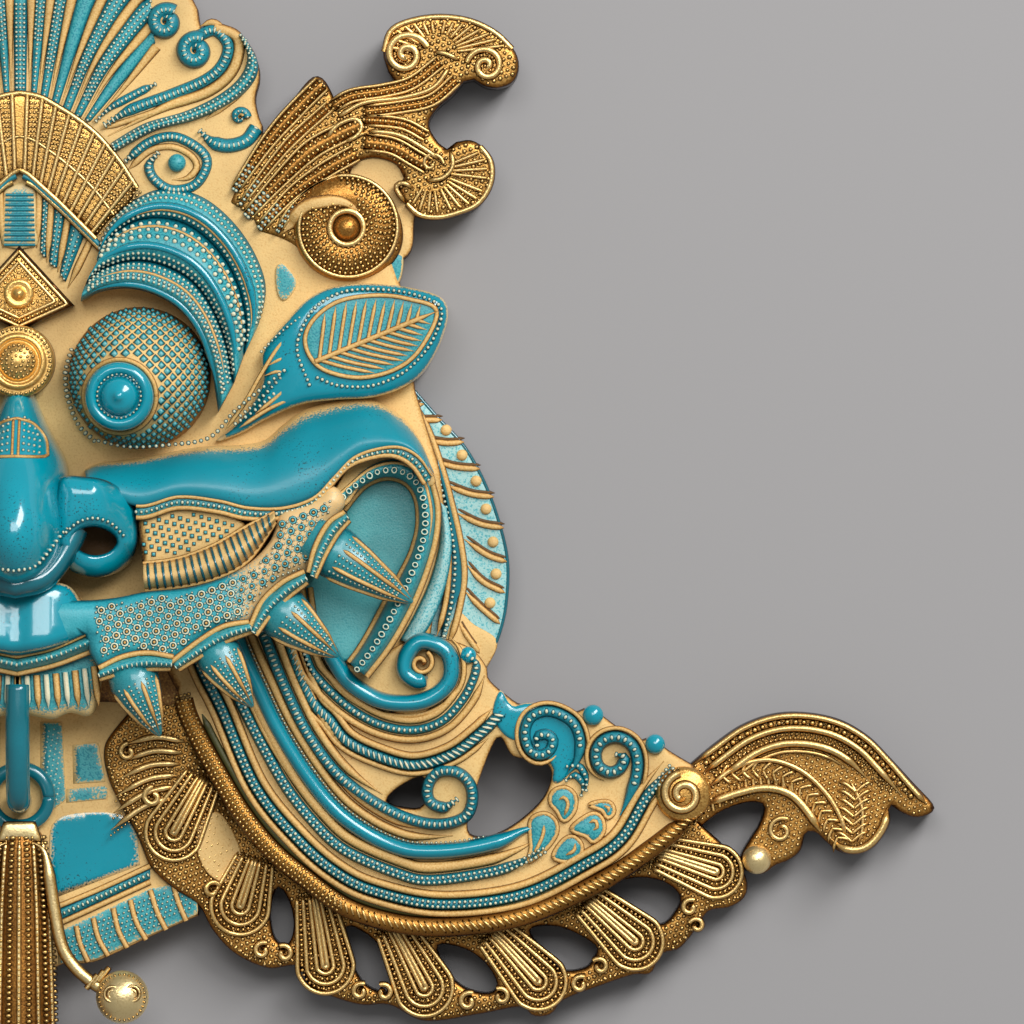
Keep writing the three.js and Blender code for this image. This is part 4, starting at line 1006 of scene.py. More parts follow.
# Cheeks: glossy swellings that run from the nose to the lip, with a studded leaf and a comb under each.
# Enamel over the casting, worn to sand along the upper edge; the leaf and the comb's bars are sand.
cheek_top = flow([
    (13, 10.8), (16, 12.2), (24, 13.2), (36, 15.4), (44, 15.8), (49, 16.8), (52.6, 19.8), (57, 22.8),
    (64, 24.6), (70.4, 24.8), (76, 21.8), (80, 16.8), (82.8, 10.4)], count=90)
cheek_low = flow([
    (14.4, 8), (23.6, 3.6), (32, 5.4), (40, 4.6), (46, 3.2), (53, 3.2), (59, 5.2), (63, 9.2), (67, 13.2),
    (72, 15), (76.4, 15.2), (80, 13.2), (82.6, 9.6)], count=90)
cheek = band(cheek_top, cheek_low, [14.5, 21, 24.6, 26.2, 26], 11, 16, fade=(0.2, 0))
hem_top = cheek_low[12:]
hem_low = across(hem_top, hem_top + np.c_[np.linspace(0, -1.6, len(hem_top)),
    np.linspace(-2.3, -1.6, len(hem_top))], 1)
cheek_hem = band(hem_top, hem_low, [25.4, 25.8, 25.4], 11, 4)
leaf_edge = flow([(23.8, 3.4), (28, 5.2), (33, 5.6), (38.4, 4.6), (45.4, 0)], count=40)
leaf_low = flow([(24.8, -8), (32, -6.8), (39, -4.2), (45.4, -0.4)], count=40)
leaf = plate(np.vstack([leaf_edge, leaf_low[::-1][1:]]), 24.6, edge=0.6, low=11)
comb_top = flow([(25, -7.8), (32, -6.8), (39, -4.2), (45.4, -0.6), (51.2, 2.4)], count=60)
comb_low = flow([(25.4, -13.2), (34, -12.2), (41, -10.2), (46.4, -6.8), (51.4, 0.4)], count=60)
comb_heights = [26.2, 29.6, 30.2, 27]
comb = band(comb_top, comb_low, comb_heights, 11, 10)
comb_bars = []
for k in range(2, 59, 3):
    line = np.array([np.r_[across(comb_top[k], comb_low[k], s),
        np.interp(s, [0, 0.33, 0.67, 1], comb_heights)] for s in np.linspace(0.06, 0.94, 9)])
    comb_bars.append(rib(line, None, 0.72, 0.6))
leaf_rows, leaf_studs = [], []
leaf_rows.append(row(across(hem_top, hem_low, 0.5), 25.8, 1.05, 0.85, 1, 0.55))
leaf_loop = np.vstack([across(leaf_edge, leaf_low, 0.24), across(leaf_edge, leaf_low, 0.96)[::-1]])
leaf_studs.append(set_on(field(leaf_loop, 1.6, 0.5, 24.6, 0.78), 1.25, 0.5, 0.78))
leaf_lines = [
    rib(hem_top, 25.5, 0.9, 0.8), rib(hem_low, 25.2, 1.1, 1), rib(comb_low, 26.8, 0.9, 0.9),
    rib(comb_top, 26, 0.8, 0.8)]
cheek_paint = finish(
    "satin turquoise", [(0, "#023f4a"), (0.5, "#007484"), (1, "#008899")], rough=0.4,
    coat=0.1, worn="#dcb878", specks=0.93, mottle=0.12)
piece("cheeks", both([cheek]), cheek_paint)
piece("cheek_hems", both([cheek_hem]), turquoise_flute)
piece("cheek_leaves", both([leaf]), sand)
piece("cheek_combs", both([comb]), sand)
ribs("cheek_comb_slots", paired(comb_bars), dark_turquoise)
ribs("cheek_lines", paired(leaf_lines), sand)
beads("cheek_leaf_beads", paired_beads(leaf_rows), turquoise_bead)
beads("cheek_leaf_studs", paired_beads(leaf_studs), stud_turquoise, STUD_TREE)

# Snout: a high plate covered with little rings, a glossy strip under the nose, collars, fangs and front teeth.
# All one casting; rings and collars are stippled turquoise on sand, and the fangs carry lengthwise stripes.
MUZZLE_TOP = 30.0
muzzle_half = np.vstack([
    flow([(0, -15.2), (8, -15.2), (14.4, -15.2), (20, -14.6), (26, -13.4), (34, -12.6), (41, -10.6),
    (46.4, -7.6), (50.4, -3.2), (52, 1.6)], 1),
    flow([(53.2, 2.6), (58.8, 4.6), (62, 7.4), (64, 6.8), (65, 3.6), (60.4, -2.2), (58.4, -8.8), (56, -10)], 1),
    flow([(52, -12), (48.4, -16), (46.4, -19.8), (41, -20.6), (36, -23.4), (31.2, -27.2), (26, -26.2),
    (21, -26.6), (16.8, -28.6), (14.4, -25.6)], 1),
    flow([(13.6, -22), (7, -24.8), (0, -26.4)], 1)[:-1],
])
muzzle = plate(whole(muzzle_half[1:]), lambda p: MUZZLE_TOP - 3.0 * ease((p[:, 0].__abs__() - 40) / 20),
    edge=2.2, cell=1.6, low=11)
muzzle["fade"] = 1 - 0.85 * ease((np.abs(muzzle["verts"][:, 0]) - 36) / 14)
philtrum = plate(whole(flow([(0, -12), (7.6, -11.6), (11.2, -13.2), (13, -17.6), (13.2, -21.8), (7, -24.4),
    (0, -25.8)], 1)[:-1]), lambda p: 29.8 - 0.18 * (p[:, 1] + 12) - 0.05 * (np.abs(p[:, 0]) - 4.4) ** 2, edge=2,
    low=11, fade=0.3)


def little_ring(put):
    hoop = put("GeometryNodeCurvePrimitiveCircle", {"Resolution": 8, "Radius": 0.72}).outputs[0]
    wire = put("GeometryNodeCurvePrimitiveCircle", {"Resolution": 4, "Radius": 0.34}).outputs[0]
    return put("GeometryNodeCurveToMesh", {"Curve": hoop, "Profile Curve": wire}).outputs[0]


RING_TREE = bead_tree("Ring studs", little_ring)


def muzzle_level(p):
    return MUZZLE_TOP - 3.0 * ease((np.abs(p[:, 0]) - 40) / 20)


ring_area = np.vstack([
    flow([(14.4, -16), (20, -15.2), (26, -14), (34, -13.2), (41, -11.2), (46.8, -8.2), (51, -3.4), (52.4, 1.2),
    (59.2, 3.6), (62, 5.6)], 1),
    flow([(64, 4.4), (59.6, -2.2), (57.6, -8.4), (52, -11.2), (47.6, -15.6), (45.6, -19.2)], 1),
    flow([(40.4, -20), (35.6, -22.6), (30.8, -26.6), (26, -25.4), (21, -25.8), (16.8, -27.6)], 1)])
ring_spots = field(ring_area, 2.2, 0.9, muzzle_level)
grain_spots = field(ring_area, 1.1, 0.5, muzzle_level)
clear_grain = np.array([np.linalg.norm(ring_spots[:, :2] - g[:2], axis=1).min() > 0.95 for g in grain_spots])
fang_plan = [
    ((63.4, -5.8), (78.6, -15.6), 5.2, 24, [(58, -9.6), (59.4, -4.4), (62, 0.2), (65.2, 2.4)]),
    ((53.2, -18), (63.8, -26.4), 5.2, 26, [(46.4, -20.4), (48.8, -15.4), (52.8, -11.6), (57.2, -9.4)]),
    ((40.2, -26.2), (46.8, -36.4), 4.5, 27, [(30.8, -27.4), (36, -23.4), (41, -20.4), (46.2, -19.4)]),
    ((23.4, -31.2), (28.4, -42.2), 4.9, 27, [(16.4, -28.6), (21, -26.4), (26, -25.6), (31.2, -26.4)]),
]
fang_rows = []
fang_bodies, fang_stripes, collar_bands, collar_lines, collar_rows = [], [], [], [], []
for base, tip, r, root, collar in fang_plan:
    base, tip = np.array(base), np.array(tip)
    t = np.r_[-0.35, np.linspace(0, 1, 22)]
    along = (tip - base) / np.linalg.norm(tip - base)
    side = np.array([-along[1], along[0]])
    spread = r * np.interp(t, [-0.35, 0, 0.3, 0.7, 0.93, 1], [0.9, 1.05, 0.86, 0.5, 0.2, 0.06])
    level = root + 2.2 * np.sin(np.pi * np.clip(t, 0, 1)) - 2.0 * t
    turn = np.linspace(0, 2 * math.pi, 24, endpoint=False)
    body = [
        np.c_[base + (tip - base) * k + np.outer(np.cos(turn), side) * s, z + np.sin(turn) * s * 0.95] for k, s,
        z in zip(t, spread, level)]
    # Painted light and shade: each fang's crest follows its section, light on top and dark on its sides and
    # underneath.
    form = skin(body, np.tile(np.clip(np.sin(turn) * 1.3 + 0.25, 0, 1), (23, 1)))
    fang_bodies.append(form)
    body = np.array(body)
    fang_stripes += [rib(body[2:-1, k], None, 0.95, 0.5, (1, 5)) for k in (2, 5, 8, 11)]
    fang_rows += [row(body[2:-4, k], None, 0.95, 0.7, 0.6, 0.35) for k in (3, 4, 6, 7, 9)]
    arc_line = flow(collar, count=30)
    inner = across(arc_line, np.array([base + (arc_line[0] - arc_line[-1]) * (0.5 - s) * 0.92 for s in np.linspace(0, 1, 30)]), 0.62)
    collar_bands.append(band(arc_line, inner, [MUZZLE_TOP - 1.5, MUZZLE_TOP + 2, MUZZLE_TOP + 2.2,
        MUZZLE_TOP - 0.5], 14, 8))
    collar_lines += [rib(arc_line, MUZZLE_TOP, 1.3, 1.3), rib(inner, MUZZLE_TOP - 0.3, 1.1, 1.2)]
    collar_rows.append(row(across(arc_line, inner, 0.62), MUZZLE_TOP + 2, 1, 0.5, 1.5, 0.5))
TEETH_TOP = 24.0
comb_plate = plate(whole(flow([(0, -25.2), (8, -23.2), (15.6, -23.2), (16.6, -28.8), (16, -34), (14.4, -38.2),
    (10.4, -37.6), (7.2, -38.8), (4, -38.4), (0, -37.6)], 1)[:-1]), TEETH_TOP, edge=2, low=11)
gum_a = flow([(0, -26.4), (7, -24.8), (13.6, -22)], count=30)
gum_b = flow([(0, -29.8), (7.6, -28), (15.6, -25)], count=30)
gum = band(gum_a, gum_b, [25, 29, 28, 25], 18, 8)
tooth_ribs, tooth_blades = [], []
for k in range(9):
    x = 20 + 9.5 * k
    line = np.c_[flow([((x - 20) * 0.2, -30.2 + 0.03 * k * k), ((x - 20) * 0.21 + 0.2, -37.2 + 0.12 * k)], 0.8)]
    (tooth_ribs if k % 2 == 0 else tooth_blades).append(rib(line, TEETH_TOP, 1.5, 1.1, (0, 2)))
gum_lines = [rib(gum_a, 26.5, 1, 1.6), rib(gum_b, 25.6, 1.2, 1.2)]
muzzle_paint = finish(
    "stippled snout", [(0, "#0a4f5a"), (0.6, "#1d8f9d"), (1, "#3aa6b1")], rough=0.4,
    grain=0.9, worn="#d9b57c")
piece("snout", [muzzle], muzzle_paint)
piece("philtrum", [philtrum], glossy_turquoise)
fang_paint = finish(
    "fang turquoise", [(0, "#032c33"), (0.4, "#07505a"), (0.8, "#14727d"), (1, "#2f8f97")],
    rough=0.28, coat=0.3, grain=0.5)
piece("fangs", both(fang_bodies), fang_paint)
piece("fang_collars", both([*collar_bands, gum]), turquoise_flute)
piece("front_teeth", [comb_plate], turquoise_flute)
ribs("tooth_blades", paired(tooth_blades), turquoise_bead, 6)
ribs("snout_sand_lines", paired(fang_stripes + collar_lines + gum_lines + tooth_ribs), sand)
outward = ring_spots[:, 0] > 44
beads("snout_rings", paired_beads([set_on(ring_spots[~outward], 1.75, 0.8)]), turquoise_bead, RING_TREE, 0.1)
beads("snout_outer_rings", paired_beads([set_on(ring_spots[outward], 1.6, 0.7)]), stud_turquoise, RING_TREE,
    0.1)
beads("snout_grains", paired_beads([set_on(grain_spots[clear_grain], 0.62,
    0.35)] + fang_rows + collar_rows + [row(across(gum_a, gum_b, 0.45), 28.6, 1, 0.6, 1.3, 0.5)]),
    turquoise_bead)
beads("snout_ring_hearts", paired_beads([set_on(ring_spots, 0.8, 0.5)]), sand)

# Lip: a rolled edge round the corner of the mouth, studded along its middle, with the hollow mouth inside it.
# Cast with the face; the roll is deep turquoise between two sand lines, the hollow is brushed thin.
lip_outer = flow([(56.4, 2.4), (61, 4.2), (65, 7.8), (69.2, 11.8), (74, 13.8), (78.2, 13.4), (81.2, 10.8),
    (82.8, 6.8), (83.6, 2.4), (83, -3.6), (81, -10.4), (78, -17.4), (74, -24.4), (69.4, -30.4)], count=80)
lip_inner = flow([(65, 2.8), (67, 5.4), (69.4, 7.8), (73.2, 9.2), (77, 8.2), (79.2, 5), (79.6, -0.2),
    (78.4, -5.2), (76.4, -9.4), (73.2, -15.2), (70, -21.2), (67.6, -25.2), (65.8, -27.6)], count=80)
lip_heights = [18, 21.6, 22.2, 20, 14]
lip_roll = band(lip_outer, lip_inner, lip_heights, 11, 12)
mouth_floor = plate(np.vstack([lip_inner, flow([(64, -27.2), (54, -23.2), (56, -11.2), (62, -4.2)], 1)]),
    lambda p: 13.4 + 0 * p[:, 0], edge=0.4, low=11)
lip_rows = [row(lane(lip_outer, lip_inner, lip_heights, 0.52)[6:] + [0, 0, 0.5], None, 1.7, 1.4, 1.6, 0.8)]
lip_lines = [rib(lip_outer, 18.4, 1.5, 1.6), rib(lip_inner, 14.6, 1.2, 1.3),
    rib(lane(lip_outer, lip_inner, lip_heights, 0.26)[:46], None, 0.8, 0.5, (4, 6))]
side_a = flow([(83.6, 4.8), (84, -3.2), (82, -11.2), (78.8, -18.2), (76, -23.2)], count=40)
side_b = flow([(85.4, 3.2), (86.4, -4.2), (85.2, -12.2), (82.4, -19.6), (79.2, -24.2)], count=40)
side_strip = band(side_a, side_b, [13.2, 14.6, 13.4], 9, 6)
lip_fill = plate(flow([
    (60.4, 3.2), (63.2, 7.2), (66.8, 12.4), (72, 14.8), (76.8, 14.8), (80.8, 12.8), (83.2, 8.4), (80.8, 7.6),
    (76.8, 10.8), (72.8, 11.2), (68.8, 8.4), (65.2, 3.6)], 0.9, closed=True), 20, edge=0.4, low=11)
hollow_paint = finish("brushed hollow turquoise",
    [(0, "#0a5560"), (0.7, "#1c97a3"), (1, "#5cb4b6")], rough=0.35, grain=0.8, mottle=0.3)
pale_paint = finish("pale speckled turquoise",
    [(0, "#0b4d58"), (0.5, "#2b8f9b"), (0.85, "#5fb0b6"), (1, "#9fcac6")], rough=0.4, grain=1.5)
piece("mouth_hollows", both([mouth_floor]), hollow_paint)
piece("lips", both([lip_roll]), turquoise_flute)
ribs("lip_lines", paired(lip_lines), sand)
piece("lip_fillets", both([lip_fill]), sand)
beads("lip_studs", paired_beads(lip_rows), turquoise_bead, RING_TREE)
piece("jaw_strips", both([side_strip]), pale_paint)

# Feather discs: flat fans behind the cheeks, each feather a pale speckled field with one boss.
# Cast with the face, painted pale turquoise; quills and the inner border are sand.
DISC_TOP = 9.4
disc_edge = flow([(78.4, 27.6), (84, 21.2), (89, 15.8), (93, 8.8), (96, 0.8), (97.8, -7.2), (97.6, -15.2),
    (96.4, -21.2), (94, -27.2), (92.8, -29.6)], 1)
disc = plate(np.vstack([disc_edge, flow([(90, -33.2), (76, -33.2), (72, -15.2), (72, 24.8)], 2, smooth=False)]),
    DISC_TOP, edge=0.8)
disc_inner = flow([(77, 26.4), (81.2, 19.8), (84.2, 11.8), (86.4, 3.8), (88.2, -4.2), (88.8, -11.2),
    (87.2, -19.6), (85.2, -25.2)], count=80)
quills, quill_shades, disc_dots = [], [], []
for points in (
        [(76.4, 23.4), (80.8, 24)], [(77.2, 20.8), (84.4, 20.8)], [(80.8, 17), (85, 16.2), (88.8, 16.4)],
        [(82.6, 12.8), (87, 11.4), (92, 11)], [(84.8, 8), (90, 6), (94.8, 5.4)],
        [(87, 2.4), (92, 0), (96.8, -0.8)], [(88.8, -3), (93.4, -6.2), (97.4, -7.6)],
        [(89.2, -8), (92.6, -11.6), (97, -13.8)], [(88.8, -13.2), (91.8, -16.4), (96, -20)],
        [(87.4, -19), (89.4, -22.4), (92, -26)]):
    line = flow(points, 0.8)
    quills.append(rib(line, DISC_TOP, 1.3, 0.8, (3, 1)))
    # Painted shadow: a dark brown line beside each quill stands for the shade along it.
    quill_shades.append(rib(line + [0.2, 0.8], DISC_TOP - 0.1, 0.8, 0.3, (1, 1)))
for spot in ((85.2, 18.8), (88.4, 13.8), (91.2, 8.6), (93.2, 3), (94.6, -3.6), (95.2, -10), (94, -15.8)):
    disc_dots.append(lathe(spot, [(1.15, 9.3), (1.05, 9.8), (0.7, 10.2), (0.1, 10.3)], 8.5, 14))
disc_rim = rib(disc_edge + [-0.35, -0.1], DISC_TOP - 0.6, 0.8, 0.8)
disc_foot = plate(flow([(85.2, -22.4), (87.6, -17.6), (90.8, -20), (95.4, -23.2), (93.8, -28), (90, -32.8),
    (84, -32.8)], 0.9, closed=True), DISC_TOP + 0.15, edge=0.4, low=7)
border = [
    rib(disc_inner, DISC_TOP + 0.2, 1.5, 1.3, (4, 4)), rib(flow([(85, 0.8), (85.8, -7.2), (85.2, -15.2),
    (83.4, -22.4)], 0.8), DISC_TOP + 1.6, 1.3, 1.2, (4, 3)),
]
border_bed = band(flow([(84, 8.8), (85.8, 0.8), (86, -7.2), (85.2, -15.2), (84, -23.2)], count=40),
    across(disc_inner[20:60], disc_inner[20:60], 0), [10.6, 11.2, 10.2], 7, 5)
border_row = row(flow([(83.6, 10), (85.8, 0.8), (87, -7.2), (86.4, -15.2), (84.8, -22.4)], 0.8), 11.4, 1.15,
    0.9, 1, 0.5)
piece("feather_discs", both([disc]), pale_paint)
piece("feather_borders", both([border_bed]), dark_turquoise)
piece("feather_bosses", both([disc_foot, *disc_dots]), sand)
ribs("feather_quills", paired(quills + border), sand)
ribs("feather_shadow_lines", paired(quill_shades), hollow_shadow, 6)
ribs("feather_rims", paired([disc_rim]), dark_turquoise)
beads("feather_beads", paired_beads([border_row]), turquoise_bead)

# Ear leaves: thick glossy leaves on a stem, with a sunk veined field and a rim of white beads.
# Modelled in the casting and enamelled; veins and field edge are sand.
EAR_TOP = 19.0
ear_outline = flow([
    (39.2, 16.6), (44, 20.8), (48.4, 28), (48.6, 34.4), (54, 41.2), (58, 45.2), (63, 47.4), (70, 48),
    (78, 47.2), (84, 45.4), (85.6, 42.6), (85, 38.6), (83, 33.8), (80, 29.6),
    (75.6, 26.8), (70, 25.2), (63, 24.8), (56, 23.8), (49, 20.8), (44, 18)], 1, closed=True)
ear = plate(ear_outline, lambda p: EAR_TOP - 3.0 * ease((56 - p[:, 0]) / 14), edge=2, fade=0.4)
field_edge = flow([(83.4, 42.4), (78, 44.8), (71.6, 45.6), (64.4, 44.6), (59.6, 41.6), (57.2, 37.6), (58, 33.6),
    (61.2, 30.6), (68, 29.2), (75, 30.8), (80, 34.8)], 0.8, closed=True)
leaf_field = plate(field_edge, EAR_TOP + 0.3, edge=0.3, low=15, fade=0.2)
vein_root, vein_tip = np.array((59.2, 32.4)), np.array((83.4, 42.4))
veins = [rib(flow([vein_root, vein_tip], 1), EAR_TOP + 0.4, 1.2, 0.9, (0, 4))]
for k in range(12):
    t = (k + 0.4) / 12.5
    root = across(vein_root, vein_tip, t)
    up = flow([root, root + [0.7 + 1.2 * t, 6], root + [1.6 + 3 * t, 14]], 0.6)
    down = flow([root, root + [4.5, -1.3], root + [11, -2.6]], 0.6)
    for line in (up, down):
        line = line[inside(line, field_edge)]
        line = line[reach(line, [field_edge]) > 0.5]
        if len(line) > 4:
            veins.append(rib(line, EAR_TOP + 0.3, 0.85, 0.6, (0, 2)))
veins.append(rib(np.vstack([field_edge, field_edge[:1]]), EAR_TOP + 0.2, 1, 0.7))
ear_bead_line = flow([
    (58, 27.8), (55.6, 34.4), (56.6, 39.2), (59.6, 43.6), (65, 46.4), (72, 46.8), (79, 45.8), (84.2, 43.2),
    (83.2, 38), (80.4, 33.6), (76.4, 30), (70.4, 27.6), (64, 27.6), (59.6, 29.2)], 0.8)
ear_rows = [
    row(ear_bead_line, EAR_TOP, 1.05, 0.95, 0.95, 0.55), row(flow([(44.2, 21.6), (47.6, 24.4), (53, 30)], 0.8),
    18, 1.2, 0.8, 1.1, 0.6),
    row(flow([(48.4, 34.4), (52, 38), (56, 41.2)], 0.8), 18.6, 1, 0.7, 0.7, 0.4),
    row(flow([(43.2, 20), (47.2, 22.8), (53.6, 28.4)], 0.8), 17.6, 1.2, 0.9, 1.1, 0.6)]
ear_lines = [rib(flow(points, 0.8), 17.8, 0.9, 0.8, (2, 2)) for points in (
    [(49.6, 31.6), (53.2, 33.2), (55.4, 32.4), (56, 26)], [(49, 29.6), (52, 30.4), (54, 28.8), (54.2, 26)],
    [(56, 26), (59.6, 28.8), (63, 28.2)], [(53, 38.8), (54.2, 36.8), (53.2, 34.8)],
    [(41.2, 18.8), (45.2, 24.4), (48.4, 30), (52, 35.6), (56, 39.6)],
    [(44, 19.2), (49.6, 22.8), (55.2, 25.4)], [(47.2, 22), (50.8, 24.8), (54.4, 28)],
    [(51.2, 34.4), (52.8, 32.4), (55.6, 34.8)], [(58.4, 26.4), (62, 27), (65.2, 26.2)])]
piece("ear_leaves", both([ear]), glossy_turquoise)
piece("ear_fields", both([leaf_field]), turquoise_flute)
ribs("ear_veins", paired(veins + ear_lines), sand)
beads("ear_beads", paired_beads(ear_rows), turquoise_bead)

# Chin panel: a flat tongue behind the pendant with a plain painted field, a beaded hem and a ribbed skirt.
# Cast with the face; field and cells are turquoise, the borders are sand.
CHIN_TOP = 10.6
chin_half = np.vstack([flow([(0, -95.2), (7.8, -88.4), (15, -87.6), (27.4, -82), (35.6, -78.4)], 1),
    flow([(33.6, -74.4), (28.8, -67.2), (27.2, -55.2), (27.2, -29.2)], 1.2),
    flow([(0, -29.2), (-0.8, -29.2)], 1)[:1]])
chin = plate(whole(chin_half), CHIN_TOP, edge=0.8)
chin_fields = [
    plate(flow([(6, -75.2), (5.8, -63.2), (7.2, -59.2), (11, -57.8), (17.6, -57.6), (21.6, -58.8),
    (23.4, -62.2), (24, -68.2)], 0.9), 10.9, edge=0.25, low=9, fade=0.7),
    plate(flow([(10.4, -44.2), (15.6, -43.6), (17.2, -51.6), (10.6, -52)], 0.9, smooth=False), 10.9, edge=0.25,
    low=9, fade=0.7),
    plate(flow([(4, -39.6), (8.4, -39.6), (9.2, -55.2), (6, -57.6), (4, -55.2)], 0.9, smooth=False), 10.9,
    edge=0.25, low=9, fade=0.5),
    plate(flow([(9.2, -53), (17.4, -52.2), (17.6, -55), (9.2, -55.8)], 0.9, smooth=False), 10.9, edge=0.25,
    low=9, fade=0.5),
]
skirt = plate(flow([(7.2, -81.6), (16, -77.6), (26, -72.8), (35.2, -71.2), (35.6, -78), (27.4, -81.6),
    (15, -87.2), (7.6, -88)], 0.9, smooth=False), 10.9, edge=0.25, low=9, fade=0.5)
chin_lines = [rib(flow(points, 0.9), 10.9, 1.2, 0.7) for points in (
    [(6.4, -77), (16, -73), (26, -68.4)], [(6.8, -80.4), (16, -76.2), (26, -71.6)],
    [(11.2, -80.4), (12, -84), (13.6, -87.6)], [(14.6, -78.8), (15.6, -82.8), (17.6, -86.4)],
    [(18.6, -76.8), (19.6, -81.2), (21.4, -84.8)],
    [(22, -75.2), (23.2, -79.6), (25.2, -83.2)], [(26, -73.2), (27.4, -77.6), (29.2, -81.2)],
    [(30.4, -71.2), (31.6, -75.6), (33.2, -79.4)])]
hem_bed = band(flow([(6.6, -77.6), (26, -69)], count=30), flow([(6.8, -79.8), (26, -71)], count=30),
    [10.8, 11, 10.8], 9, 4)
chin_rows = [row(flow([(7, -78.6), (25.6, -70.2)], 0.9), 11.4, 1, 0.7, 1.2, 0.4)]
skirt_loop = flow([(8, -82.4), (16, -78.4), (26, -74), (34.4, -72), (34.8, -77.2), (27.4, -80.8), (15, -86.4),
    (8.4, -86.8)], 0.9, closed=True, smooth=False)
chin_grain = field(skirt_loop, 1.05, 0.4, lambda p: 0 * p[:, 0] + 11)
strip_loop = flow([(4.2, -40), (8, -40), (8.8, -54.8), (6, -56.8), (4.2, -55.2)], 0.9, closed=True,
    smooth=False)
strip_grain = field(strip_loop, 1.1, 0.4, lambda p: 0 * p[:, 0] + 10.75)
piece("chin_panel", [chin], sand)
piece("chin_fields", both([chin_fields[0]]), glossy_turquoise)
piece("chin_cells", both([*chin_fields[1:], skirt, hem_bed]), turquoise_flute)
ribs("chin_lines", paired(chin_lines), sand)
beads("chin_beads", paired_beads(chin_rows + [set_on(chin_grain, 0.6, 0.3), set_on(strip_grain, 0.6, 0.2)]),
    turquoise_bead)

# Whiskers: broad plumes of ribs that sweep from under the fangs out to the tail and curl into scrolls.
# Cast in one with the face and pierced by two openings; flat sand ribs alternate with beaded turquoise ones.
WHISKER_TOP = 14.0
rope = flow([
    (31.6, -33.6), (32.8, -38.2), (35.4, -43.8), (39.2, -50.8), (43.8, -58.4), (49.6, -65.6), (56.2, -71.2),
    (66.6, -78.2), (81.8, -81.4), (100, -79.4), (116.6, -72.2), (127.2, -65.2), (136, -58.2)], count=160)
whisker_top_edge = flow([
    (134.8, -48.4), (129, -44.8), (127.2, -42.2), (123.6, -43.2), (117, -38.8), (114.4, -36.6), (110.2, -37.8),
    (105.2, -35.8), (100.4, -36.2), (97.6, -34.6), (93.8, -31.2), (93.2, -28.4), (90, -24.8), (84, -22.8),
    (78, -23.2), (72, -26.2), (66.4, -28),
    (61, -25.2), (55.2, -17.2), (50, -10.2), (34, -15.2), (26, -23.2)], 1)
heart = flow([(95.4, -42.8), (98.6, -46.4), (103.6, -47.2), (106.2, -49), (105.8, -52.6), (103.6, -56.2),
    (98.6, -60.4), (93.6, -62.6), (89.6, -61.6), (90.8, -54.4)], 0.9, closed=True)
slit = flow([(73.2, -55.4), (76, -52.4), (80.8, -50.6), (80.6, -56.4), (76.4, -56.8)], 0.9, closed=True)
whisker_plate = plate(np.vstack([rope, whisker_top_edge]), WHISKER_TOP, holes=(heart, slit), edge=0.9)
whisker_low = flow([
    (34.6, -24.2), (37, -30.2), (40.6, -37.4), (47.2, -52.6), (55.6, -63), (63.2, -69.6), (71, -73.4),
    (84, -76), (100, -74.2), (113, -68), (120.2, -63), (125.4, -54.4), (130.2, -48.6)], count=140)
whisker_mid = flow([(39.2, -23.2), (41.8, -30.2), (45, -37.4), (52.4, -51.2), (58.8, -59.6), (65, -65.2),
    (75.4, -69.8), (82.2, -71.2), (94, -69.6), (100, -67.6), (104.8, -65.2)], count=140)
whisker_thick = flow([
    (42.4, -20.2), (44.8, -26.2), (47.6, -32.4), (51.8, -41.2), (57.6, -50.4), (63.2, -57.2), (69.4, -61.8),
    (75.6, -64.6), (80.6, -65.4), (88.2, -65), (95.8, -63.4), (100.8, -61.2), (105, -60.4)], count=140)
whisker_coil = flow([
    (46.4, -15.2), (50, -25.2), (53.8, -34.4), (57.6, -42), (63.2, -49.6), (69.4, -54.6), (76.4, -58.4),
    (83.2, -60), (88.6, -58.8), (90.4, -55.8), (90, -52), (87.4, -49.6), (83.6, -49.6), (81.6, -52.4),
    (82, -55.4), (84.8, -56.6),
    (87.4, -55)], count=170)
whisker_feather = flow([(52, -13.2), (54.4, -25.2), (58.4, -35.2), (61.8, -39), (65.2, -43.2), (71, -46.2),
    (78.6, -48.2), (86.2, -46.2), (92, -42), (95.8, -38.2)], count=90)
whisker_bead = flow([(54.4, -13.2), (55.6, -21.2), (57.6, -27.6), (59.4, -30.6), (65.2, -36.2), (71.8, -40),
    (78.6, -41.2), (84.4, -39.4), (88.6, -35), (90.8, -30.6), (91.2, -27.8), (89.6, -26.2)], count=90)
whisker_tail = flow([
    (60.8, -23.6), (62, -25.6), (63.2, -27.8), (66, -31.6), (71, -34.8), (75.6, -35.8), (80.6, -35.4),
    (84.4, -33.2), (86.2, -30.2), (85.8, -26.2), (83.2, -24), (79.8, -23.6), (77.4, -26.2), (77, -29.4),
    (79.4, -31.2),
    (81.6, -30.6)], count=120)


def beside(line, by):
    """A line that runs beside another."""
    ahead = np.gradient(line, axis=0)
    return line + np.stack([-ahead[:, 1], ahead[:, 0]], 1) / np.linalg.norm(ahead, axis=1)[:, None] * by


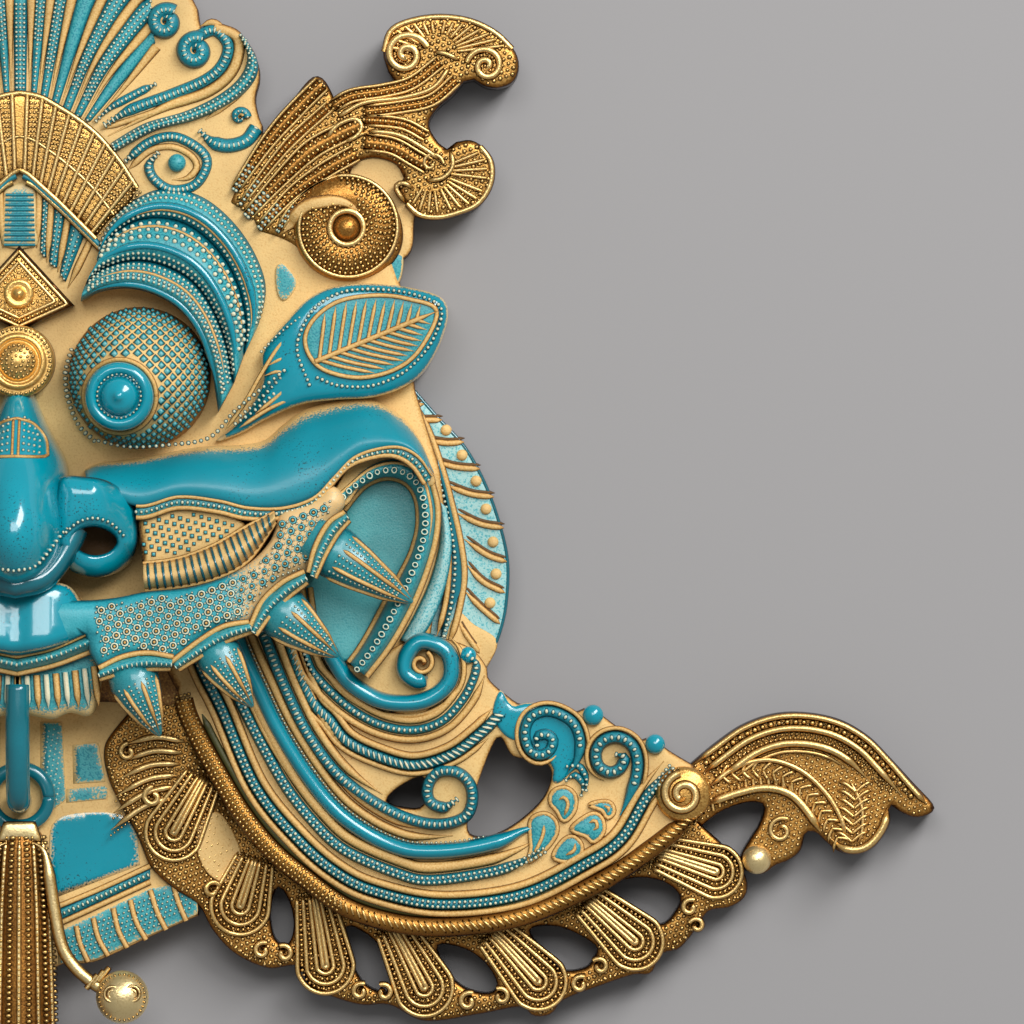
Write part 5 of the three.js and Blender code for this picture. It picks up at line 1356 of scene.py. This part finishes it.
on = WHISKER_TOP
coil_run = whisker_coil[:110]
whisker_sand = [
    rib(beside(whisker_low, -1.9), on, 1.5, 1.4, (0, 8)), rib(beside(whisker_low, 1.9), on, 1.7, 1.5, (0, 8)),
    rib(beside(whisker_mid, 2.5), on, 2.4, 1.6, (0, 10)), rib(beside(whisker_thick, -2.7)[:-10], on, 1.4, 1.3,
    (0, 8)),
    rib(beside(whisker_thick, 2.9)[:110], on, 1.9, 1.6, (0, 8)),
    rib(beside(whisker_thick, 4.8)[:104], on, 1.5, 1.3, (0, 8)),
    rib(beside(coil_run, 2.2)[:88], on, 1.9, 1.4, (0, 8)), rib(beside(coil_run, 4.2)[:70], on, 1.7, 1.2,
    (0, 8)),
    rib(beside(whisker_feather, 1.9), on, 1.6, 1.5, (0, 3)), rib(beside(whisker_feather, -1.7)[:84], on, 1.2,
    1.1, (0, 3)),
    rib(beside(whisker_bead, 2)[:80], on, 1.7, 1.6, (0, 3)), rib(beside(whisker_bead, 3.7)[:70], on, 1.3, 1.2,
    (0, 3)),
    rib(beside(whisker_bead, -1.9)[:84], on, 1.6, 1.6, (0, 4)),
    rib(beside(whisker_tail, -2.5)[:84], on, 1.2, 1.2, (0, 4)),
]
beaded_ropes = [
    rib(whisker_low, on, 2.3, 1.5, (0, 6)), rib(whisker_mid, on, 2.3, 1.7, (0, 8)),
    rib(whisker_coil, on + 0.4, 2.4, 2.2, (0, 3)),
    rib(whisker_bead, on, 1.9, 1.5, (0, 3)), rib(whisker_feather, on, 2.4, 1.4)]
smooth_ropes = [rib(whisker_thick, on, 3.4, 3, (0, 10)), rib(whisker_tail, on + 0.8, 3.6, 3.4, (0, 1))]
whisker_sand.append(rib(scroll((80.2, -27.8), 2.6, 60, 1.4, -1), on + 1.2, 1.1, 2.2, (0, 1)))
whisker_rows = [row(beside(line, d), on + z, 1.05, 0.9, 0.9, 0.5) for line, z in (
    (whisker_low, 1.35), (whisker_mid, 1.5)) for d in (-0.45, 0.45)]
whisker_rows += [
    row(whisker_coil[4:], on + 2.3, 1.05, 0.75, 1.7, 0.55), row(whisker_bead, on + 1.3, 1.1, 0.9, 1.3, 0.55),
    row(beside(whisker_thick, 1.75)[8:120], on + 1.9, 0.95, 0.6, 0.6, 0.35)]
feather_rows = row(whisker_feather, on + 1.2, 1.15, 0.6, 2.3, 0.5)
feather_rows[:, 3] += 0.6
for k in (4, 5):
    feather_rows[:, k] *= np.linspace(0.8, 1.4, len(feather_rows))
volutes = [
    (flow([(109.2, -50.4), (111.2, -47.6), (112, -43.6), (110.8, -40), (108, -38), (105, -37.4), (102.2, -38.6),
    (101, -41.4), (101.6, -44.6), (103.6, -46.2), (105.8, -45.4), (106.6, -43.2), (105.2, -42), (103.4, -42.6),
    (103.4, -44.2)], 0.7), 2.3),
    (flow([(120, -58.2), (121.8, -54.4), (123.2, -50.4), (123.4, -46.8), (122.2, -44), (119.6, -42.6),
    (116.8, -43.2), (115.2, -45.4), (115.6, -48.2), (117.8, -49.6), (120, -48.8), (120.8, -46.6), (119.2, -46)],
    0.7), 2.5)]
for line, wide in volutes:
    beaded_ropes.append(rib(line, on + 0.7, wide, 1.6, (6, 2)))
    whisker_rows.append(row(line[10:], on + 2.1, 1.35, 0.95, wide * 0.6, 0.6))
    whisker_sand.append(rib(beside(line, -wide * 0.72)[8:-10], on + 0.4, 1, 1.2, (3, 4)))
for points in ([(109.2, -51.2), (111, -50.2), (112.6, -52), (112.2, -54.2)],
    [(109.4, -48.4), (111.8, -48.4), (113.2, -50.8), (113.2, -53.2)]):
    line = flow(points, 0.7)
    beaded_ropes.append(rib(line, on, 1.6, 1.3, (2, 3)))
    whisker_rows.append(row(line, on + 1.1, 1.1, 0.8, 1, 0.5))
commas, comma_sand = [], []
for points, hook in (
        ([(106, -55.6), (106.6, -53.4), (109, -52.6), (111, -54.2), (111, -57), (109.6, -59), (108.4, -59.2),
        (107.4, -57.4)], [(107.6, -55.2), (108.8, -54.6), (109.6, -56), (108.8, -58.4)]),
        ([(102.2, -59), (104.8, -57.8), (107, -59.2), (107.4, -61.6), (106, -64), (104.2, -65.8),
        (101.6, -67.6), (102.2, -64.8), (102, -62)], [(104.8, -60), (104.6, -62), (103.6, -64.4),
        (102.6, -66.2)]),
        ([(106.6, -66.4), (108.4, -63.4), (110.4, -62.4), (112.2, -63.8), (112.2, -65.8), (110.6, -67.2),
        (108.4, -67.4)], [(111, -63.6), (110.8, -65.2), (109, -66.2)]),
        ([(110.2, -61), (112.8, -58.6), (115, -57.8), (116.6, -59.2), (116.6, -61.8), (114.6, -63.6),
        (113.2, -62.4)], [(113.6, -59.8), (115, -59.2), (115.4, -60.6), (114.4, -61.2)]),
        ([(113.8, -56.2), (116.4, -55.4), (118.2, -55.8), (118.8, -57.6), (117.4, -58.8), (116.4, -57.2)],
        [(116.6, -56.2), (117.8, -56.8), (117.4, -57.8)])):
    edge_line = flow(points, 0.7, closed=True)
    commas.append(plate(edge_line, on + 0.9, edge=0.7, low=9, fade=0.6))
    comma_sand.append(rib(np.vstack([edge_line, edge_line[:1]]), on, 1, 1))
    comma_sand.append(rib(flow(hook, 0.6), on + 0.7, 0.9, 0.9, (1, 1)))
neck = plate(flow([
    (96, -33.2), (98.4, -36.2), (101.2, -35.8), (105.8, -35.8), (109.2, -37.2), (111.6, -39.8), (112.4, -43.4),
    (112, -46.4), (110.4, -48), (109.2, -50.8), (107.2, -52), (106.4, -51), (106.6, -49), (105.2, -47),
    (103.4, -46.8), (100.8, -46),
    (99.8, -43.8), (97.6, -42.8), (95.6, -40.8), (94.4, -37.6)], 0.8, closed=True), on + 0.7, edge=0.8, low=9,
    fade=0.1)
knobs = [lathe(spot, [(r, 13), (r * 0.95, on + r * 0.5), (r * 0.6, on + r * 0.85), (0.1, on + r)], 6,
    18) for spot, r in (
    ((114.6, -38.2), 2.1), ((127, -44), 2), ((89.6, -26.2), 1.7))]
# Painted shadow: a dark olive ribbon beside the gold rope stands for the shade along its foot.
rope_shadow = [rib(beside(rope, 3.5)[6:138], on - 0.2, 1.7, 0.9, (3, 6))]
rope_rim = rib(beside(rope, 0.9)[2:], on - 0.3, 4, 1.7, (0, 6))
rope_rows = [row(beside(rope, d)[1:66], on + z, 1, 0.9, 0.9, 0.6) for d,
    z in ((-0.4, 0.7), (0.45, 1.2), (1.3, 1.2), (2.1, 0.7))]
hatch = row(beside(rope, 0.9)[62:], on + 0.7, 1.3, 0.8, 4, 1.1)
hatch[:, 3] += 0.7
olive_shadow = finish("olive painted shadow", [(0, "#17180a"), (1, "#4a4a1c")], rough=0.5)
piece("whisker_plates", both([whisker_plate]), sand)
piece("whisker_necks", both([neck, *knobs]), glossy_turquoise)
piece("whisker_commas", both(commas), turquoise_flute)
ribs("whisker_sand_ribs", paired(whisker_sand + comma_sand), sand)
ribs("whisker_ropes", paired(beaded_ropes), turquoise_flute)
ribs("whisker_smooth_ropes", paired(smooth_ropes), glossy_turquoise, 12)
ribs("whisker_shadow_lines", paired(rope_shadow), olive_shadow, 6)
beads("whisker_beads", paired_beads(whisker_rows), turquoise_bead)
beads("whisker_feather_edge", paired_beads([feather_rows]), turquoise_bead)
dark_gold = finish(
    "brown gold", [(0, "#1a0b02"), (0.5, "#6b4015"), (1, "#b07c33")], metal=0.75, rough=0.38,
    grain=0.4, mottle=0.24)
ribs("gold_rope_rims", paired([rope_rim]), dark_gold, 10)
beads("gold_rope_strands", paired_beads([*rope_rows, hatch]), gold)

# Frill: a pierced gold border of hanging lobes under the whiskers, tied together by little scrolls.
# Cast with the whiskers, plated antique gold and rubbed; each lobe is a nest of lines and beads.
FRILL_TOP = 8.6
frill_outer = flow([
    (26, -33.2), (19.6, -40.2), (16.8, -44.8), (17.6, -50.8), (20.4, -56.8), (23.6, -62.8), (26, -68.4),
    (30, -72.4), (35.6, -76.2), (38.4, -81.2), (42.8, -86), (49.4, -89), (55.4, -88.6), (58, -92.8),
    (63.2, -95),
    (68.4, -96.4), (74, -96.4), (81, -99.6), (92, -98.2), (99.8, -96.8), (102.8, -98.6), (106.2, -98.2),
    (108.8, -95.4), (114.8, -93), (122.4, -90.4), (126.2, -90), (128.4, -86.2), (132, -85), (135.6, -80.8),
    (137.8, -77.6), (142, -76.8), (144.8, -75), (145.6, -72.4), (144.4, -68.8), (140.8, -64.4), (136.4, -60.4)],
    1)
frill_holes = [flow(points, 0.9, closed=True) for points in (
    [(51.6, -72.8), (54, -76.2), (54.6, -81.2), (53.2, -84.4), (50.8, -82.8), (50, -77.2)],
    [(65.2, -80.8), (69.6, -82.4), (72.8, -86.2), (74.2, -91.2), (72.8, -93.8), (68.8, -92), (66.4, -87.6)],
    [(83.6, -84.4), (89, -85.2), (93.2, -88.2), (95.4, -92.2), (93.6, -94), (88.8, -92.8), (85.2, -89.2)],
    [(102, -81.4), (108, -80.8), (115, -84.4), (114.6, -87.2), (112.8, -89), (108.8, -89.4), (106.2, -87)],
    [(117.4, -73.4), (122.4, -71), (127.8, -71.4), (131.4, -73.6), (131.8, -76.4), (128.4, -80.2),
    (124.2, -78)])]


def frill_level(p):
    return FRILL_TOP + 3.6 * ease((44 - p[:, 0]) / 12)


frill_edge = np.vstack([frill_outer, beside(rope, 1.4)[::-1]])
frill = plate(frill_edge, frill_level, holes=frill_holes, edge=0.9)
frill_spots = field(frill_edge, 1.2, 0.6, frill_level, holes=frill_holes)
lobes = [
    ((37, -50.2), (30.8, -61.6), 5.6), ((47.2, -66.4), (44, -76.4), 5.8), ((58.8, -73.8), (61, -88.4), 5.6),
    ((74.4, -80.2), (80.8, -92.8), 5.7), ((94, -81.2), (103.6, -91.6), 5.6),
    ((113, -74.8), (123, -83.6), 5.6), ((127, -65.6), (139.2, -69.6), 5.2)]
frill_ribs, frill_rows = [], []
for root, end, r in lobes:
    root, end = np.array(root), np.array(end)
    facing = math.atan2(*(end - root)[::-1])
    for k, (share, kind) in enumerate(((1, "rib"), (0.83, "beads"), (0.66, "rib"), (0.48, "beads"),
        (0.3, "rib"), (0.08, "core"))):
        angle = facing + np.linspace(-math.pi / 2, math.pi / 2, 13)
        tip = end + r * share * np.c_[np.cos(angle), np.sin(angle)]
        starts = [root + (side - end) * 0.62 for side in (tip[0], tip[-1])]
        loop = flow(np.vstack([starts[0], across(starts[0], tip[0], 0.6), tip, across(starts[1], tip[-1], 0.6),
            starts[1]]), 0.7)
        if kind == "beads":
            frill_rows.append(row(loop, lambda p: frill_level(p) + 0.4, 1, 0.9, 0.9, 0.7))
        else:
            frill_ribs.append(rib(loop, frill_level, 1.1 if kind == "rib" else 1.3, 1.6, (1, 1)))
for centre, r, start, hand in (
        ((26.6, -54.6), 2.6, 90, 1), ((48.4, -85.4), 2.2, 60, 1), ((52.8, -86), 2.2, 120, -1),
        ((68, -93.6), 2.2, 60, 1), ((72.8, -93.8), 2.2, 120, -1), ((89.6, -95.6), 2.4, 60, 1),
        ((96.2, -94.6), 2.2, 120, -1), ((112, -92.2), 2.2, 60, 1), ((116, -88.6), 2.2, 140, -1),
        ((134, -76.8), 2.2, 60, 1), ((135.4, -80.4), 2, 160, -1), ((38.4, -73.2), 2.2, 30, 1),
        ((21.6, -45.6), 2.2, 90, 1)):
    frill_ribs.append(rib(scroll(centre, r * 0.8, start, 1.3, hand), lambda p: frill_level(p) + 0.3, r * 0.6,
        1.8, (0, 1)))
frill_rows.append(row(beside(frill_outer, 1)[6:-6], lambda p: frill_level(p) + 0.1, 0.95, 0.75, 0.75, 0.5))
for k in range(6):
    root = np.array((33.2, -43.6)) + [-0.5 * k, -2.2 * k]
    blade = flow([root, root + [-6, 1.0 - 0.6 * k], root + [-12.5, -0.6 - 1.2 * k]], 0.8)
    frill_ribs.append(rib(blade, lambda p: frill_level(p) + 0.3, 1.5, 1.2, (2, 4)))
    frill_rows.append(row(blade + [0, -1.05], lambda p: frill_level(p) + 0.4, 0.9, 0.6, 0.6, 0.35))
frill_web = plate(flow([(36, -59.6), (39.6, -57.6), (43.2, -62.8), (44.4, -68.4), (41.2, -72), (37.2, -69.6),
    (35.2, -64.4)], 0.8, closed=True), lambda p: frill_level(p) + 0.5, edge=0.4, low=6)
piece("frill", both([dim(frill, 0.54)]), gold)
beads("frill_grains", paired_beads([set_on(frill_spots, 1, 0.5)]), gold, GRAIN_TREE)
ribs("frill_lines", paired(frill_ribs), gold)
beads("frill_beads", paired_beads(frill_rows), gold)
piece("frill_webs", both([frill_web]), sand)

# Tail leaves: gold plumes that curl out from the end of each whisker, with a veined leaf hanging inside.
# Cast with the frill and plated antique gold; the lines stand bright over dark brown hollows.
TAIL_TOP = 9.0
tail_upper = flow([
    (134.2, -48), (139, -44), (144.6, -40.2), (151, -38), (157.6, -37.8), (164.2, -39.2), (169.8, -42.4),
    (174.2, -46.8), (178.6, -51.6), (182.8, -56.2), (182.2, -58), (179.4, -58.8), (176.8, -58), (174.4, -56.4)],
    1)
tail_under = flow([
    (173.8, -57.6), (173.4, -60.6), (171.2, -64.2), (168, -66.2), (164.2, -65.8), (161.2, -63.6),
    (159.2, -61.8), (157.2, -62), (156.2, -65.4), (153.8, -67.4), (151.2, -68.4), (148.4, -70.2), (145, -69.2),
    (144.2, -66.6), (146, -63.2),
    (148, -60), (148.8, -56.4), (145.6, -55.8), (140.4, -57.6), (136, -60.8)], 1)
tail_edge = np.vstack([tail_upper, tail_under, flow([(132.8, -58.4), (129.6, -55.2), (132, -50.4)], 1)])
tail_plate = plate(tail_edge, TAIL_TOP, edge=0.9)
tail_rim = flow([(135.4, -48.8), (139.6, -45.6), (145, -41.8), (151.2, -39.6), (157.6, -39.4), (163.6, -40.8),
    (168.8, -43.8), (173, -48), (177.2, -52.8), (180.8, -56.8)], count=80)
tail_lines = [
    rib(beside(tail_rim, 0.9), TAIL_TOP, 1.4, 2, (3, 2)), rib(beside(tail_rim, -1.6)[:74], TAIL_TOP, 1.7, 2.3,
    (3, 6)),
    rib(beside(tail_rim, -4.6)[4:64], TAIL_TOP, 1.9, 2.3, (3, 6)),
    rib(beside(tail_rim, -6.2)[6:58], TAIL_TOP, 0.9, 1.5, (3, 6)),
    rib(flow([(137.2, -53.2), (143, -48.8), (149.6, -47.2), (156, -49.2), (161.2, -53.8), (164.4, -59.2),
    (165.2, -63.6)], 0.8), TAIL_TOP, 1.3, 1.8, (3, 3)),
    rib(flow([(173.6, -56.8), (172.8, -60.4), (170.4, -63.8), (167.6, -65.2), (164.6, -64.8), (162, -62.8)],
    0.8), TAIL_TOP, 2, 2.2, (2, 4)),
    rib(flow([(136.8, -56.4), (143, -54), (149, -52.8), (154, -54), (157.6, -57.6), (160.4, -62)], 0.8),
    TAIL_TOP, 2.1, 2.4, (3, 3)),
    rib(flow([(166, -51.2), (168.4, -56.4), (168.4, -62), (167.2, -64.4)], 0.8), TAIL_TOP, 0.9, 1, (2, 2)),
]
tail_rows = [
    row(beside(tail_rim, -0.35)[3:75], TAIL_TOP + 0.3, 1.7, 1.4, 1.4, 0.9),
    row(beside(tail_rim, -2.75)[3:70], TAIL_TOP + 0.2, 1, 0.85, 0.85, 0.6),
    row(beside(tail_rim, -3.6)[3:68], TAIL_TOP + 0.2, 1, 0.85, 0.85, 0.6),
]
tail_tree_line = flow([(140.4, -50.4), (148, -49.2), (155, -52), (160.4, -57.6), (163.6, -62.8)], 2.1)
for at, ahead in zip(tail_tree_line, np.gradient(tail_tree_line, axis=0)):
    ahead = ahead / np.linalg.norm(ahead)
    side = np.array([-ahead[1], ahead[0]])
    for hand in (-1, 1):
        tail_lines.append(rib(flow([at, at + hand * side * 1.3 + ahead * 0.9,
            at + hand * side * 2.2 + ahead * 2.2], 0.5), TAIL_TOP, 0.8, 1.3, (0, 1)))
for at in flow([(138.4, -55.2), (144, -52), (149, -50.8), (154, -52.4), (157.2, -55.6)], 1.5):
    tail_lines.append(rib(flow([at, at + [0.3, -2.2]], 0.7), TAIL_TOP, 0.9, 1.3))
for k in range(7):
    at = across(np.array((167.2, -53.6)), np.array((166.4, -63.6)), k / 6)
    for hand in (-1, 1):
        tail_lines.append(rib(flow([at, at + [hand * 2, 1.6], at + [hand * 3.6, 2]], 0.6), TAIL_TOP, 0.8, 1.2,
            (0, 1)))
for centre, r, start, turns, hand in (((152.2, -61.4), 3.4, 60, 1.5, 1), ((132.6, -54), 5.4, 100, 1.7, 1)):
    level = 16 if r > 5 else TAIL_TOP
    tail_lines.append(rib(scroll(centre, r * 0.8, start, turns, hand), level, r * 0.36, 1.5, (0, 2)))
    tail_rows.append(row(scroll(centre, r * 0.98, start, turns * 0.6, hand), level - 0.1, 0.95, 0.7, 0.7, 0.4))
tail_ball = lathe((147.4, -67.2), [(2.9, 9), (2.8, 10.4), (2.1, 11.6), (1.1, 12.2), (0.1, 12.4)], 6, 24)
root_boss = lathe((132.6, -54), [(5.6, 14), (5.4, 15.2), (4.8, 15.9), (2, 16.2), (0.1, 16.4)], 3, 36)
piece("tail_leaves", both([dim(tail_plate, 0.54), tail_ball, dim(root_boss, 0.6)]), gold)
beads("tail_grains", paired_beads([set_on(field(tail_edge, 1.2, 0.7, TAIL_TOP), 0.8, 0.28)]), gold, GRAIN_TREE)
ribs("tail_lines", paired(tail_lines), gold)
beads("tail_beads", paired_beads(tail_rows), gold)

# Hook: a smooth rod under the front teeth that the pendant's ring hangs on.
# Cast with the mask and enamelled dark turquoise.
hook_line = flow(np.array([(-32, 24.6), (-40, 25), (-48, 23.6), (-53, 22), (-55, 19.6), (-55.3, 15),
    (-55.3, 9.6)]), count=30)
turn = np.linspace(0, 2 * math.pi, 20, endpoint=False)
hook_rings = []
for (y, z), (ty, tz) in zip(hook_line, np.gradient(hook_line, axis=0)):
    size = math.hypot(ty, tz)
    hook_rings.append(np.c_[2.4 * np.cos(turn), y - 2.4 * np.sin(turn) * tz / size,
        z + 2.4 * np.sin(turn) * ty / size])
hook_rod = skin(hook_rings, np.ones((30, 20)))
piece("hook", [hook_rod], dark_turquoise)

# Pendant: a loose ring with a tassel of beaded strands and two curled arms that end in ball heads.
# Cast on its own and hung on the hook; the ring is dark turquoise and the rest antique gold.
PENDANT_LOW = 11.0
RING_Y, RING_R, RING_WIRE = -54.6, 5.8, 1.35
around = np.linspace(0, 2 * math.pi, 49)
ring_rings = [
    np.c_[(RING_R + RING_WIRE * np.cos(turn)) * math.cos(a),
    RING_Y + (RING_R + RING_WIRE * np.cos(turn)) * math.sin(a),
          PENDANT_LOW + 1.4 + RING_WIRE * np.sin(turn)] for a in around]
ring = skin(ring_rings, np.ones((49, 20)))
tassel_line = flow(np.array([
    (-60.4, 3, 2.8), (-63.5, 5.2, 4.8), (-75, 6.6, 6.4), (-88, 7.2, 7.3), (-100, 7.6, 7.9),
    (-119.8, 8.4, 8.4)]), count=60)
angle = np.linspace(0, math.pi, 25)
tassel = skin(
    [np.c_[half * 0.94 * np.cos(angle), np.full(25, y), PENDANT_LOW + 0.05 + high * 0.9 * np.sin(angle)] for y,
    half, high in tassel_line],
    np.full((60, 25), 0.42))
strand_ribs, strand_rows = [], []
for k in range(11):
    a = math.pi * (k + 0.5) / 11
    line = np.c_[tassel_line[:, 1] * 0.95 * math.cos(a), tassel_line[:, 0],
        PENDANT_LOW + tassel_line[:, 2] * 0.92 * math.sin(a)][3:]
    if k % 2:
        strand_ribs.append(rib(line, None, 1, 0.7, (2, 0)))
    strand_rows.append(row(line, None, 1.15, 1.05, 1.5 if k % 2 == 0 else 0.8, 0.9))
arm_line = np.array([(2.6, -63.5, 15.2), (5.2, -66, 15.6), (6.8, -76, 15.2), (8.4, -84, 15), (11, -88.4, 15),
    (14.6, -91.6, 15.4), (17.6, -93.4, 15.8)])
arm = rib(flow(arm_line, 0.8), None, 2.6, 1.4, (8, 0))
collars = [rib(flow([(13.4 + d, -92.8 + d * 0.6, 15.4), (15.6 + d, -90.0 + d * 0.6, 15.4)], 0.6), None, 1.3,
    1.6) for d in (0, 1.3, 2.4)]
ball_z = PENDANT_LOW + 5.4
fall = np.radians(np.linspace(-80, 89, 20))
ball_rings = [(5.3 * math.cos(a), ball_z + 5.3 * math.sin(a)) for a in fall]
ball_head = lathe((20.6, -94.4), ball_rings, ball_rings[0][1] - 0.02, 32)
eye_rings = [rib(np.array([x, y]) + circle * r, z, 0.7, 0.6) for x, y,
    z in ((18.7, -93.7, 20.6), (22.7, -93.6, 20.6)) for r in (1.5, 0.75)]
head_rows = [row((20.6, -94.4) + circle * 4.6, ball_z + 2.6, 0.95, 0.7, 0.7, 0.4)]
bail = plate(flow([(-3.2, -59.4), (3.2, -59.4), (4.6, -63.5), (-4.6, -63.5)], 0.8, closed=True, smooth=False),
    15, edge=0.8, low=PENDANT_LOW)
piece("pendant_ring", [ring], dark_turquoise, "pendant")
piece("pendant_tassel", [tassel, bail, *both([ball_head])], gold, "pendant")
ribs("pendant_arms", paired([arm, *collars, *eye_rings]) + strand_ribs, gold, 10, "pendant")
beads("pendant_strands", strand_rows + paired_beads(head_rows), gold, node="pendant")

# Table and light: a plain pale floor under the mask, which lies on its back, and soft studio lamps.
# The camera looks straight down on the right half, as the photograph does.
floor_mesh = bpy.data.meshes.new("floor")
floor_mesh.from_pydata([(-3, -3, -0.0004), (3, -3, -0.0004), (3, 3, -0.0004), (-3, 3, -0.0004)], [],
    [(0, 1, 2, 3)])
floor = bpy.data.objects.new("floor", floor_mesh)
bpy.context.scene.collection.objects.link(floor)
floor_paint = bpy.data.materials.new("pale grey table")
floor_paint.use_nodes = True
floor_paint.node_tree.nodes["Principled BSDF"].inputs["Base Color"].default_value = shade("#9a9898")
floor_paint.node_tree.nodes["Principled BSDF"].inputs["Roughness"].default_value = 0.9
floor_mesh.materials.append(floor_paint)


def lamp(name, place, target, size, watts, tint=(1, 1, 1)):
    light = bpy.data.lights.new(name, "AREA")
    light.shape = "RECTANGLE"
    light.size, light.size_y = size
    light.energy = watts
    light.color = tint
    made = bpy.data.objects.new(name, light)
    made.location = place
    made.rotation_euler = (Vector(target) - Vector(place)).to_track_quat("-Z", "Y").to_euler()
    bpy.context.scene.collection.objects.link(made)


lamp("key window", (0.75, 0.85, 1), (0.1, 0, 0), (0.5, 0.9), 18)
lamp("overhead", (0.1, 0.5, 1.3), (0.1, 0, 0), (0.9, 0.5), 8)
world = bpy.data.worlds.new("studio")
world.use_nodes = True
world.node_tree.nodes["Background"].inputs["Color"].default_value = (1, 1, 1, 1)
world.node_tree.nodes["Background"].inputs["Strength"].default_value = 0.26
bpy.context.scene.world = world
bpy.context.scene.view_settings.view_transform = "Standard"

FRAME_WIDE = 0.2048
CAMERA_HIGH = 2.5
view = bpy.data.cameras.new("photo view")
view.sensor_width = 36
view.lens = 36 * (CAMERA_HIGH - 0.012) / FRAME_WIDE
view.clip_end = 20
camera = bpy.data.objects.new("photo view", view)
camera.location = (0.0984, 0.0024, CAMERA_HIGH)
bpy.context.scene.collection.objects.link(camera)
bpy.context.scene.camera = camera
